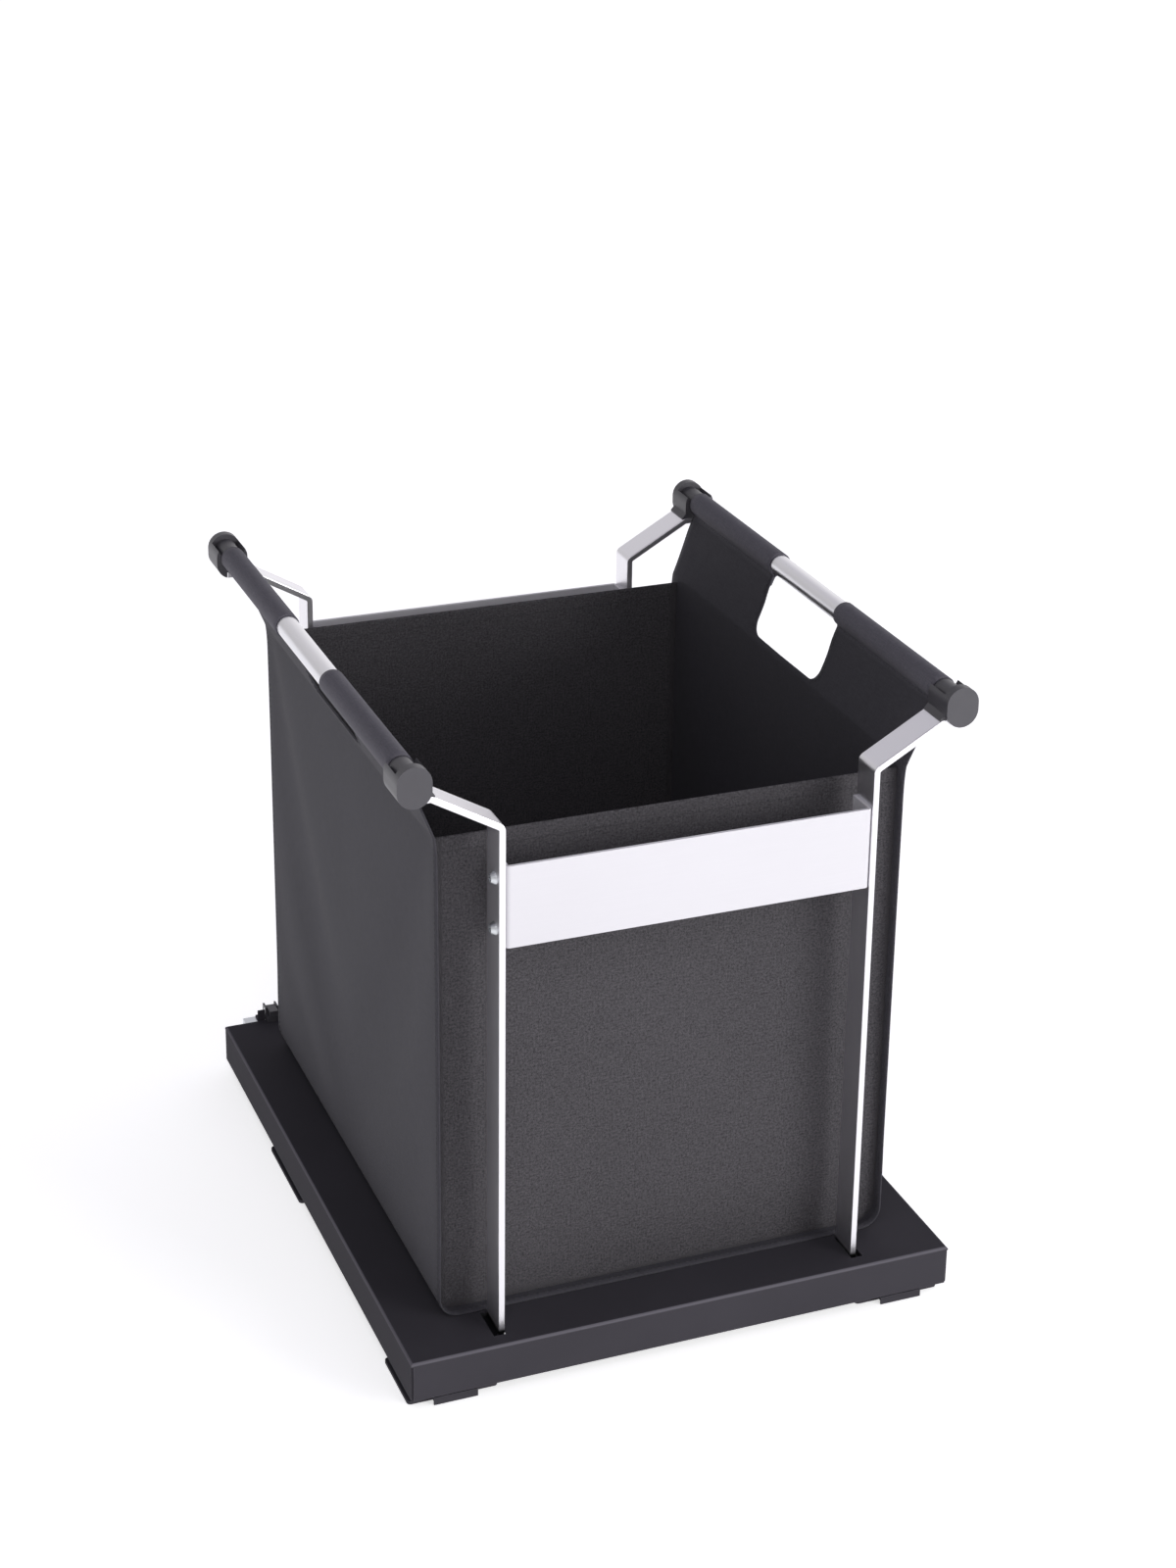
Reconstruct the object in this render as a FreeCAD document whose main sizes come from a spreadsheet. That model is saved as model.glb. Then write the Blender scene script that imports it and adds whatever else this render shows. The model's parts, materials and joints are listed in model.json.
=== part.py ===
"""Pull-out waste bag carrier: a folded steel tray on two telescopic rails, four bent flat-bar uprights joined
by cross plates, and a lift-out fabric bag that hangs by two carrying tubes in four end holders.

Millimetres. +Z is up, -Y is the front, where the tray pulls out. The origin is on the cabinet floor, under the
middle of the whole object. X and Y sizes marked "from the middle" are counted from the tray's centre."""
import FreeCAD, Part
import Sketcher
import math
import os
import re
from FreeCAD import Placement, Rotation, Vector

SIDES = {"left": -1, "right": 1}
ENDS = {"front": -1, "rear": 1}
UP = Vector(0, 0, 1)
BUTTON_TAPER, PAN_TAPER = 0.6, 0.7
HALF_TURN = Rotation(UP, 180)

DRIVING = {
    # tray: one steel sheet with its four edges folded down
    "tray_width": 410, "tray_depth": 498, "tray_height": 41, "tray_sheet": 1.5,
    "skirt_height": 30, "skirt_bend": 2.5, "corner_gap": 1.6,
    # four plates screwed to the cabinet floor, one pair near the front and one behind the middle
    "floor_sheet": 2.5, "plate_width": 66, "plate_corner": 3,
    "front_plate_length": 54, "front_plate_setback": 39, "rear_plate_length": 84, "rear_plate_setback": 176,
    "plate_screw_offset": 25, "plate_screw_radius": 2.25,
    "rivet_radius": 2.4, "rivet_spacing": 30, "rivet_clearance": 0.05,
    # telescopic rails: a channel on the floor, a channel under the tray and a double channel between
    "rail_inset": 34, "rail_half": 16, "rail_sheet": 1.5, "rail_mouth": 9.5, "rail_gap": 1.5,
    "rail_setback": 7, "cabinet_rail_reach": 7.5, "tray_rail_reach": 10, "nose_rise": 3.5,
    "middle_sheet": 2, "middle_clear": 3, "middle_flange": 9.5, "middle_setback": 3,
    "buffer_length": 6.5, "buffer_gap": 0.3, "buffer_fit": 0.1,
    "ball_radius": 2.5, "ball_clearance": 0.15, "ball_hole_clearance": 0.15, "cage_sheet": 1,
    "cage_length": 220, "balls_in_row": 8, "ball_pitch": 28,
    "rail_tab_length": 30, "rail_tab_reach": 14, "rail_tab_setback": 62, "rail_stud_inset": 7,
    # uprights: flat bar bent outwards at the foot, outwards again at the top, then level at the tip
    "bar_thick": 4.5, "bar_width": 25, "bar_setback": 14, "bend_inside": 1.5,
    "arm_angle": 30, "tip_lead": 0.2, "tip_reach": 4.5, "tip_bite": 0.5, "foot_gap": 2,
    "foot_reach": 16, "foot_stud_inset": 6, "foot_stud_spacing": 13,
    "slot_gap": 4.4, "slot_ends": 2.5, "slot_clearance": 0.3,
    # studs welded under the tray, with their nuts
    "stud_radius": 2.5, "stud_length": 10, "stud_clearance": 0.25,
    "stud_nut_radius": 4.6, "stud_nut_height": 4,
    # cross plates and their button-head screws
    "cross_sheet": 2.5, "cross_drop": 9.4, "cross_height": 59.5, "flange_margin": 2, "cross_bend": 0.8,
    "screw_radius": 3, "screw_clearance": 0.2, "screw_head_radius": 5, "screw_head_height": 3.3,
    "screw_socket": 2.3, "screw_spacing": 36.8, "screw_setback": 10,
    "screw_nut_radius": 5.75, "screw_nut_height": 5, "screw_end": 1,
    # carrying tubes, their end plugs and the holders on the arm tips
    "tube_inset": 9.7, "tube_rise": 54.7, "tube_radius": 8, "tube_wall": 1.2, "tube_gap": 1,
    "plug_step": 0.2, "plug_setback": 4, "plug_spigot": 25, "spigot_clearance": 0.1,
    "holder_wall": 3.5, "holder_gap": 1, "holder_disc": 3.7, "disc_drop": 5, "plug_clearance": 0.3,
    "holder_end_gap": 0.5, "saddle_length": 1.5, "saddle_thick": 1.2, "saddle_rise": 2.4, "saddle_inset": 1.68,
    "notch_clearance": 0.1,
    "mouth_lead": 3, "mouth_flare": 1.9,
    "pin_screw_radius": 2, "pin_screw_head": 3.8, "pin_screw_head_height": 2.2, "pin_screw_bite": 2.4,
    # bag: side panels that run under the floor and up to the tubes, end panels set in from their edges
    "flap_lean": 24.8, "bag_clearance": 0.3, "fabric": 2, "panel_inset": 10, "wrap_gap": 3,
    "bag_height": 364.1, "fold_rise": 5.3, "bag_corner": 15, "turn_under": 6,
    "board_sheet": 3, "board_margin": 3,
    "sleeve_wall": 1.3, "sleeve_clearance": 0.1, "sleeve_start": 56, "sleeve_gap": 0.5,
    "hand_corner": 12, "hand_sill": 3,
    # catches that clip the tray to its rails at the rear edge
    "catch_inset": 12, "catch_width": 11, "catch_overlap": 7, "catch_back": 0.5, "catch_step": 4,
    "cheek_thick": 1.5, "cheek_depth": 9, "cheek_height": 10, "catch_pin_radius": 1.25,
    "catch_pin_clearance": 0.06, "catch_pin_drop": 3, "catch_pin_inset": 4.5, "lever_gap": 0.3,
    "lever_barrel": 2.6, "lever_thick": 2, "lever_nose": 3.2, "bracket_gap": 0.5, "bracket_width": 6,
    "bracket_sheet": 1.5, "bracket_height": 8,
}

WORKED_OUT = {
    "tray_middle": "-tray_rail_reach / 2",
    "tray_under": "tray_height - tray_sheet",
    "skirt_bottom": "tray_height - skirt_height",
    "tray_rear": "tray_depth / 2",
    "front_plate_place": "tray_rear - front_plate_setback",
    "rear_plate_place": "tray_rear - rear_plate_setback",
    "rail_centre": "tray_width / 2 - rail_inset",
    "rail_front": "tray_rear - rail_setback",
    "rail_split": "(floor_sheet + tray_under) / 2",
    "stack_half": "(tray_under - floor_sheet) / 2",
    "channel_depth": "stack_half - rail_gap / 2",
    "middle_half": "rail_half - rail_sheet - 2 * ball_radius - 2 * ball_clearance",
    "middle_tall": "stack_half - rail_sheet - middle_clear",
    "middle_front": "rail_front - middle_setback",
    "middle_back": "tray_rear + cabinet_rail_reach - buffer_length - buffer_gap",
    "ball_across": "(middle_half + rail_half - rail_sheet) / 2",
    "ball_level": "middle_tall - middle_flange / 2",
    "rail_tab_place": "rail_front - rail_tab_setback",
    "bag_bottom": "tray_height + bag_clearance",
    "rim_height": "bag_bottom + bag_height",
    "fold_height": "rim_height + fold_rise",
    "tube_across": "tray_width / 2 - tube_inset",
    "tube_height": "fold_height + tube_rise",
    "plug_radius": "tube_radius + plug_step",
    "channel_radius": "plug_radius + plug_clearance",
    "holder_radius": "channel_radius + holder_wall",
    "foot_end": "rail_centre - rail_half - foot_gap",
    "bar_outer": "foot_end - foot_reach",
    "bar_inner": "bar_outer - bar_thick",
    "bar_front": "tray_rear - bar_setback",
    "bar_rear": "bar_front - bar_width",
    "bar_middle": "bar_front - bar_width / 2",
    "foot_stud_across": "foot_end - foot_stud_inset",
    "tip_start": "tube_across - holder_radius + tip_lead",
    "tip_end": "tube_across + tip_reach",
    "tip_top": "tube_height - holder_radius + tip_bite",
    "tip_height": "tip_top - bar_thick",
    "tip_corner": "tip_start - bar_thick * tan(arm_angle / 2)",
    "kink_height": "tip_height - (tip_start - bar_outer) * tan(arm_angle)",
    "cross_flange": "bar_width - flange_margin",
    "cross_bottom": "rim_height - cross_drop - cross_height",
    "screw_level": "cross_bottom + cross_height / 2",
    "screw_place": "bar_front - screw_setback",
    "holder_start": "bar_rear + holder_gap",
    "plug_end": "bar_front - plug_setback",
    "tube_end": "holder_start - tube_gap",
    "sleeve_end": "tube_end - sleeve_gap",
    "wrap_edge": "bar_rear - wrap_gap",
    "panel_place": "wrap_edge - panel_inset",
    "bag_half": "tube_across - flap_lean",
    "bag_inside": "bag_half - fabric",
    "bag_seam": "bag_half - bag_corner - turn_under",
    "flap_run": "flap_lean + fabric / 2",
    "flap_angle": "atan(flap_run / tube_rise)",
    "flap_length": "sqrt(flap_run * flap_run + tube_rise * tube_rise) - fabric / 2 * flap_run / tube_rise",
    "catch_inner": "rail_centre - catch_inset",
    "catch_outer": "catch_inner + catch_width",
    "pin_height": "tray_height + cheek_height - catch_pin_drop",
    "pin_place": "tray_rear + tray_rail_reach - catch_back - catch_pin_inset",
}

doc = FreeCAD.newDocument("waste_bag_carrier")
sheet = doc.addObject("Spreadsheet::Sheet", "Dimensions")
for row, (alias, value) in enumerate(DRIVING.items(), 1):
    sheet.set(f"A{row}", alias)
    sheet.set(f"B{row}", str(value))
    sheet.setAlias(f"B{row}", alias)
for row, (alias, formula) in enumerate(WORKED_OUT.items(), 1):
    sheet.set(f"D{row}", alias)
    sheet.set(f"E{row}", "=" + formula)
    sheet.setAlias(f"E{row}", alias)
doc.recompute()

WORD = re.compile(r"[a-z][a-z_]*")
SKETCH_AXES = {"XY_Plane": (0, 1), "XZ_Plane": (0, 2), "YZ_Plane": (1, 2)}
pieces = []


# ---------------------------------------------------------------- helpers
def cells(text):
    """The formula with each alias written as its cell of the sheet."""
    def cell(match):
        word = match.group(0)
        return f"Dimensions.{word}" if word in DRIVING or word in WORKED_OUT else word
    return WORD.sub(cell, str(text))


def bind(item, **formulas):
    """Ties properties of an object to formulas; Base_x stands for Placement.Base.x."""
    for name, formula in formulas.items():
        name = name.replace("Base_", "Placement.Base.")
        item.setExpression(name, cells(formula))
    return item


def place(item, across="0", along="0", height="0", turn=None):
    """Puts an object that is modelled about its own origin where it belongs in the whole."""
    if turn is not None:
        item.Placement = Placement(Vector(), turn)
    return bind(item, Base_x=across, Base_y=f"tray_middle + ({along})", Base_z=height)


def piece(item, label):
    """Marks an object as one finished sub-part."""
    item.Label = label
    pieces.append(item)
    return item


def span(side, inner, outer):
    """The low and high end of a stretch that runs outwards on one side of the middle."""
    if side > 0:
        return inner, outer
    return f"-({outer})", f"-({inner})"


def box(across, along, height):
    """A box between three (low, high) pairs of formulas."""
    item = doc.addObject("Part::Box", "Block")
    bind(item, Length=f"({across[1]}) - ({across[0]})", Width=f"({along[1]}) - ({along[0]})",
         Height=f"({height[1]}) - ({height[0]})")
    return place(item, across[0], along[0], height[0])


def rod(direction, radius, across, along, height, length):
    """A cylinder that starts at a point and runs along a direction."""
    item = doc.addObject("Part::Cylinder", "Rod")
    bind(item, Radius=radius, Height=length)
    return place(item, across, along, height, Rotation(UP, Vector(*direction)))


def rod_along(radius, side_across, end, start, finish, height):
    """A cylinder along Y between two distances from the middle, towards one end."""
    low, high = span(end, start, finish)
    return rod((0, 1, 0), radius, side_across, low, height, f"({high}) - ({low})")


def fuse(*items):
    item = doc.addObject("Part::MultiFuse", "Union")
    item.Shapes = list(items)
    item.Refine = True
    return item


def cut(base, *tools):
    item = doc.addObject("Part::Cut", "Cut")
    item.Base = base
    item.Tool = tools[0] if len(tools) == 1 else fuse(*tools)
    return item


def group(items, label):
    """Identical small pieces kept as separate solids of one sub-part."""
    item = doc.addObject("Part::Compound", label)
    item.Links = items
    return piece(item, label)


def new_body(label):
    return doc.addObject("PartDesign::Body", label)


def new_sketch(body, role):
    sketch = body.newObject("Sketcher::SketchObject", "Sketch")
    plane = next(item for item in body.Origin.OriginFeatures if item.Role == role)
    sketch.AttachmentSupport = (plane, [""])
    sketch.MapMode = "FlatFace"
    return sketch


def fix_point(sketch, geometry, point, start, formulas):
    """Dimensions a point of a sketch from the sketch's origin."""
    for kind, formula, value in zip(("DistanceX", "DistanceY"), formulas, (start.x, start.y)):
        number = sketch.addConstraint(Sketcher.Constraint(kind, -1, 1, geometry, point, value))
        sketch.setExpression(f"Constraints[{number}]", cells(formula))


def outline(body, role, corners):
    """A closed sketch of straight lines between corners given as (across, up) formulas."""
    sketch = new_sketch(body, role)
    count = len(corners)
    turns = [2 * math.pi * number / count for number in range(count)]
    ring = [Vector(math.cos(turn), math.sin(turn), 0) for turn in turns]
    for number in range(count):
        sketch.addGeometry(Part.LineSegment(ring[number], ring[(number + 1) % count]))
    for number in range(count):
        sketch.addConstraint(Sketcher.Constraint("Coincident", number, 2, (number + 1) % count, 1))
    for number, corner in enumerate(corners):
        fix_point(sketch, number, 1, ring[number], corner)
    return sketch


def rectangle(body, role, across, up):
    """A closed sketch between two (low, high) pairs of formulas."""
    corners = [(across[0], up[0]), (across[1], up[0]), (across[1], up[1]), (across[0], up[1])]
    return outline(body, role, corners)


def circles(body, role, rings):
    """A sketch of circles, each given as (across, up, radius) formulas."""
    sketch = new_sketch(body, role)
    for number, (across, up, radius) in enumerate(rings):
        start = Vector(10 * number + 1, 1, 0)
        sketch.addGeometry(Part.Circle(start, UP, 1))
        fix_point(sketch, number, 3, start, (across, up))
        size = sketch.addConstraint(Sketcher.Constraint("Radius", number, 1))
        sketch.setExpression(f"Constraints[{size}]", cells(radius))
    return sketch


def pad(body, sketch, length, below=None, side="Symmetric"):
    """Extrudes a sketch: equally both ways, or up by length and down by below."""
    feature = body.newObject("PartDesign::Pad", "Pad")
    feature.Profile = sketch
    feature.SideType = "Two sides" if below else side
    bind(feature, Length=length)
    if below:
        bind(feature, Length2=below)
    doc.recompute()
    return feature


def pocket(body, sketch, length):
    """Cuts a sketch out of the body, equally to both sides of its plane."""
    base = body.Tip
    feature = body.newObject("PartDesign::Pocket", "Pocket")
    feature.Profile = sketch
    feature.SideType = "Symmetric"
    bind(feature, Length=length)
    doc.recompute()
    if feature.Shape.Volume > base.Shape.Volume - 1e-3:
        raise ValueError(f"{body.Name}: a pocket cuts nothing")
    return feature


def round_over(body, sketch, corners, radius):
    """Fillets the edges that stand on the given corners of a sketch."""
    doc.recompute()
    first, second = SKETCH_AXES[sketch.AttachmentSupport[0][0].Role]
    base = body.Tip
    names = []
    for corner in corners:
        point = sketch.Geometry[corner].StartPoint
        for number, edge in enumerate(base.Shape.Edges, 1):
            ends = [vertex.Point for vertex in edge.Vertexes]
            if len(ends) == 2 and all(math.hypot(end[first] - point.x, end[second] - point.y) < 1e-4
                                      for end in ends):
                names.append(f"Edge{number}")
    if len(names) < len(corners):
        raise ValueError(f"{body.Name}: found {len(names)} edges for {len(corners)} corners")
    feature = body.newObject("PartDesign::Fillet", "Bend")
    feature.Base = (base, names)
    bind(feature, Radius=radius)
    doc.recompute()
    return feature


def screw(radius, length, head_radius, head_height, taper, socket=None):
    """A screw about its own origin: the head stands on Z = 0 and the shank hangs below."""
    head = doc.addObject("Part::Cone", "Head")
    bind(head, Radius1=head_radius, Radius2=f"({head_radius}) * {taper}", Height=head_height)
    shank = doc.addObject("Part::Cylinder", "Shank")
    bind(shank, Radius=radius, Height=length, Base_z=f"-({length})")
    whole = fuse(head, shank)
    if socket is None:
        return whole
    recess = doc.addObject("Part::Prism", "Socket")
    recess.Polygon = 6
    bind(recess, Circumradius=socket, Height=head_height, Base_z=f"({head_height}) / 2")
    hollow = doc.addObject("Part::Cut", "Screw")
    hollow.Base = whole
    hollow.Tool = recess
    return hollow


def nut(radius, height, bore):
    """A hexagon nut about its own origin, standing on Z = 0."""
    hexagon = doc.addObject("Part::Prism", "Hexagon")
    hexagon.Polygon = 6
    bind(hexagon, Circumradius=radius, Height=height)
    thread = doc.addObject("Part::Cylinder", "Thread")
    bind(thread, Radius=bore, Height=height)
    whole = doc.addObject("Part::Cut", "Nut")
    whole.Base = hexagon
    whole.Tool = thread
    return whole


# ---------------------------------------------------------------- cabinet side: floor plates and fixed rails
PLATES = {
    "front": ("front_plate_length", "-front_plate_place"),
    "rear": ("rear_plate_length", "rear_plate_place"),
}


def make_floor_plates():
    for end, (length, along) in PLATES.items():
        for name, side in SIDES.items():
            body = new_body("FloorPlate")
            shape = rectangle(body, "XY_Plane", ("-plate_width / 2", "plate_width / 2"),
                              (f"-{length} / 2", f"{length} / 2"))
            pad(body, shape, "floor_sheet", side="One side")
            round_over(body, shape, range(4), "plate_corner")
            holes = [(f"{sign} * plate_screw_offset", "0", "plate_screw_radius") for sign in (-1, 1)]
            holes += [("0", f"{sign} * rivet_spacing / 2", "rivet_radius + rivet_clearance")
                      for sign in (-1, 1)]
            pocket(body, circles(body, "XY_Plane", holes), "4 * floor_sheet")
            place(body, f"{side} * rail_centre", along)
            piece(body, f"floor_plate_{end}_{name}")


def make_rivets():
    rivets = []
    for length, along in PLATES.values():
        for side in SIDES.values():
            for sign in (-1, 1):
                rivets.append(rod((0, 0, 1), "rivet_radius", f"{side} * rail_centre",
                                  f"{along} + {sign} * rivet_spacing / 2", "0", "floor_sheet + rail_sheet"))
    group(rivets, "floor_plate_rivets")


def channel(body, way):
    """A lipped channel on local Z = 0 that opens up (way 1) or down (way -1)."""
    lip, inside = f"{way} * channel_depth", f"{way} * (channel_depth - rail_sheet)"
    wall = "rail_half - rail_sheet"
    right = [("rail_mouth", inside), (wall, inside), (wall, f"{way} * rail_sheet")]
    outer = [("rail_half", "0"), ("rail_half", lip), ("rail_mouth", lip)]

    def mirrored(points):
        return [(f"-({across})", up) for across, up in reversed(points)]
    return outline(body, "XZ_Plane", right + mirrored(right) + mirrored(outer) + outer)


def make_cabinet_rails():
    length = "rail_front + tray_rear + cabinet_rail_reach"
    centre = "(tray_rear + cabinet_rail_reach - rail_front) / 2"
    for name, side in SIDES.items():
        body = new_body("CabinetRail")
        pad(body, channel(body, 1), length)
        nose = rectangle(body, "XY_Plane", ("-rail_half", "rail_half"),
                         (f"-({length}) / 2 - rail_sheet", f"-({length}) / 2"))
        pad(body, nose, "nose_rise", below="floor_sheet")
        holes = [("0", f"{along} - ({centre}) + {sign} * rivet_spacing / 2", "rivet_radius + rivet_clearance")
                 for _, along in PLATES.values() for sign in (-1, 1)]
        pocket(body, circles(body, "XY_Plane", holes), "3 * rail_sheet")
        place(body, f"{side} * rail_centre", centre, "floor_sheet")
        piece(body, f"cabinet_rail_{name}")


def make_buffers():
    buffers = []
    for side in SIDES.values():
        reach = "rail_half - rail_sheet - buffer_fit"
        top = "floor_sheet + channel_depth - rail_sheet - buffer_fit"
        buffers.append(box((f"{side} * rail_centre - ({reach})", f"{side} * rail_centre + {reach}"),
                           ("middle_back + buffer_gap", "tray_rear + cabinet_rail_reach"),
                           ("floor_sheet + rail_sheet", top)))
    group(buffers, "rail_buffers")


# ---------------------------------------------------------------- the moving members of the rails
def make_intermediate_rails():
    wall = "middle_half - middle_sheet"
    floor = "middle_tall - middle_flange"
    quarter = [(wall, f"{floor} + middle_sheet"), (wall, "middle_tall"), ("middle_half", "middle_tall"),
               ("middle_half", floor), ("middle_sheet", floor)]
    upper_right = quarter
    lower_right = [(across, f"-({up})") for across, up in reversed(quarter)]
    right = upper_right + lower_right
    left = [(f"-({across})", up) for across, up in reversed(right)]
    for name, side in SIDES.items():
        body = new_body("IntermediateRail")
        pad(body, outline(body, "XZ_Plane", right + left), "middle_front + middle_back")
        place(body, f"{side} * rail_centre", "(middle_back - middle_front) / 2", "rail_split")
        piece(body, f"intermediate_rail_{name}")


def make_ball_cages():
    """A U-shaped strip round each half of the intermediate rail holds a row of balls on either side."""
    outside, inside = "ball_across + cage_sheet / 2", "ball_across - cage_sheet / 2"
    top = "middle_tall + middle_clear / 2 + cage_sheet / 2"
    tip = "middle_tall - middle_flange + cage_sheet"
    right = [(inside, tip), (outside, tip), (outside, top)]
    left = [(f"-({across})", up) for across, up in reversed(right)]
    inner = [(f"-({inside})", f"{top} - cage_sheet"), (inside, f"{top} - cage_sheet")]
    count = int(sheet.get("balls_in_row"))
    places = [f"{number} * ball_pitch - (balls_in_row - 1) * ball_pitch / 2" for number in range(count)]
    for level, way in (("lower", -1), ("upper", 1)):
        balls = []
        for name, side in SIDES.items():
            body = new_body("Cage")
            profile = [(across, f"{way} * ({up})") for across, up in right + left + inner]
            pad(body, outline(body, "XZ_Plane", profile), "cage_length")
            seats = [(along, f"{way} * ball_level", "ball_radius + ball_hole_clearance") for along in places]
            pocket(body, circles(body, "YZ_Plane", seats), "4 * rail_half")
            place(body, f"{side} * rail_centre", "0", "rail_split")
            piece(body, f"{level}_ball_cage_{name}")
            for row in (-1, 1):
                for along in places:
                    ball = bind(doc.addObject("Part::Sphere", "Ball"), Radius="ball_radius")
                    balls.append(place(ball, f"{side} * rail_centre + {row} * ball_across", along,
                                       f"rail_split + {way} * ball_level"))
        group(balls, f"{level}_rail_balls")


def make_tray_rails():
    length = "rail_front + tray_rear + tray_rail_reach"
    centre = "(tray_rear + tray_rail_reach - rail_front) / 2"
    reach = "rail_half + rail_tab_reach"
    for name, side in SIDES.items():
        body = new_body("TrayRail")
        pad(body, channel(body, -1), length)
        for sign in (-1, 1):
            middle = f"{sign} * rail_tab_place - ({centre})"
            tab = rectangle(body, "XY_Plane", (f"-({reach})", reach),
                            (f"{middle} - rail_tab_length / 2", f"{middle} + rail_tab_length / 2"))
            feature = pad(body, tab, "rail_sheet", side="One side")
            feature.Reversed = True
        holes = [(f"{across} * ({reach} - rail_stud_inset)", f"{along} * rail_tab_place - ({centre})",
                  "stud_radius + stud_clearance") for across in (-1, 1) for along in (-1, 1)]
        pocket(body, circles(body, "XY_Plane", holes), "4 * rail_sheet")
        place(body, f"{side} * rail_centre", centre, "tray_under")
        piece(body, f"tray_rail_{name}")


# ---------------------------------------------------------------- tray
def make_tray():
    body = new_body("TraySheet")
    plan = rectangle(body, "XY_Plane", ("-tray_width / 2", "tray_width / 2"), ("-tray_rear", "tray_rear"))
    block = pad(body, plan, "skirt_height", side="One side")
    rim = [f"Edge{number}" for number, edge in enumerate(block.Shape.Edges, 1)
           if all(abs(vertex.Z - block.Shape.BoundBox.ZMax) < 1e-6 for vertex in edge.Vertexes)]
    fold = body.newObject("PartDesign::Fillet", "Fold")
    fold.Base = (block, rim)
    bind(fold, Radius="skirt_bend")
    doc.recompute()
    open_face = min(range(len(fold.Shape.Faces)), key=lambda number: fold.Shape.Faces[number].CenterOfMass.z)
    hollow = body.newObject("PartDesign::Thickness", "Hollow")
    hollow.Base = (fold, [f"Face{open_face + 1}"])
    hollow.Reversed = True
    bind(hollow, Value="tray_sheet")
    doc.recompute()
    for across in (-1, 1):
        for along in (-1, 1):
            corner = rectangle(body, "XY_Plane",
                               span(across, "tray_width / 2 - corner_gap", "tray_width / 2 + corner_gap"),
                               span(along, "tray_rear - corner_gap", "tray_rear + corner_gap"))
            pocket(body, corner, "2 * (skirt_height - skirt_bend)")
            slot = rectangle(body, "XY_Plane",
                             span(across, "bar_inner - slot_clearance", "bar_outer + slot_gap"),
                             span(along, "bar_rear - slot_ends", "bar_front + slot_ends"))
            pocket(body, slot, "4 * skirt_height")
    place(body, height="skirt_bottom")
    notch = "rail_half + slot_ends"
    notches = [box((f"{side} * rail_centre - ({notch})", f"{side} * rail_centre + {notch}"),
                   ("tray_rear - 2 * skirt_bend", "tray_rear + skirt_bend"),
                   ("skirt_bottom - skirt_bend", "tray_under")) for side in SIDES.values()]
    piece(cut(body, *notches), "tray")


def stud_places():
    """Where studs hang under the tray: two in each upright's foot, two on each tab pair of the tray rails."""
    for side in SIDES.values():
        for end in ENDS.values():
            for sign in (-1, 1):
                yield (f"{side} * foot_stud_across", f"{end} * bar_middle + {sign} * foot_stud_spacing / 2",
                       "tray_under - bar_thick")
                yield (f"{side} * rail_centre + {sign} * (rail_half + rail_tab_reach - rail_stud_inset)",
                       f"{end} * rail_tab_place", "tray_under - rail_sheet")


def make_studs_and_nuts():
    studs, nuts = [], []
    for across, along, seat in stud_places():
        studs.append(rod((0, 0, -1), "stud_radius", across, along, "tray_under", "stud_length"))
        nuts.append(place(nut("stud_nut_radius", "stud_nut_height", "stud_radius"), across, along,
                          f"{seat} - stud_nut_height"))
    group(studs, "tray_studs")
    group(nuts, "tray_nuts")


# ---------------------------------------------------------------- frame: uprights and cross plates
def make_upright(side, end, label):
    body = new_body("Upright")
    profile = outline(body, "XZ_Plane", [
        ("bar_inner", "tray_under - bar_thick"), ("foot_end", "tray_under - bar_thick"),
        ("foot_end", "tray_under"), ("bar_outer", "tray_under"), ("bar_outer", "kink_height"),
        ("tip_start", "tip_height"), ("tip_end", "tip_height"), ("tip_end", "tip_top"),
        ("tip_corner", "tip_top"), ("bar_inner", "kink_height + bar_thick * tan(45 - arm_angle / 2)")])
    pad(body, profile, "bar_width")
    round_over(body, profile, (3, 4, 5), "bend_inside")
    round_over(body, profile, (0, 8, 9), "bend_inside + bar_thick")
    foot_holes = [("foot_stud_across", f"{sign} * foot_stud_spacing / 2", "stud_radius + stud_clearance")
                  for sign in (-1, 1)]
    pocket(body, circles(body, "XY_Plane", foot_holes), "4 * tray_height")
    setback = f"{side * end} * (bar_width / 2 - screw_setback)"
    screw_holes = [(setback, f"screw_level + {sign} * screw_spacing / 2", "screw_radius + screw_clearance")
                   for sign in (-1, 1)]
    pocket(body, circles(body, "YZ_Plane", screw_holes), "3 * bar_outer")
    tip_hole = [("tube_across", "0", "pin_screw_radius + screw_clearance")]
    pocket(body, circles(body, "XY_Plane", tip_hole), "3 * tip_top")
    place(body, along=f"{end} * bar_middle", turn=HALF_TURN if side < 0 else None)
    return piece(body, label)


def make_cross_plates():
    inside = "bar_inner - cross_sheet"
    right = [("bar_inner", "cross_sheet - bar_front + cross_flange"), ("bar_inner", "-bar_front")]
    hollow = [(inside, "cross_sheet - bar_front"), (inside, "cross_sheet - bar_front + cross_flange")]

    def mirrored(points):
        return [(f"-({across})", along) for across, along in reversed(points)]
    for name, end in ENDS.items():
        body = new_body("CrossPlate")
        profile = outline(body, "XY_Plane", right + mirrored(right) + mirrored(hollow) + hollow)
        pad(body, profile, "cross_height", side="One side")
        round_over(body, profile, (1, 2), "cross_bend + cross_sheet")
        round_over(body, profile, (5, 6), "cross_bend")
        holes = [("-screw_place", f"cross_height / 2 + {sign} * screw_spacing / 2",
                  "screw_radius + screw_clearance") for sign in (-1, 1)]
        pocket(body, circles(body, "YZ_Plane", holes), "3 * bar_inner")
        place(body, height="cross_bottom", turn=HALF_TURN if end > 0 else None)
        piece(body, f"cross_plate_{name}")


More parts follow.
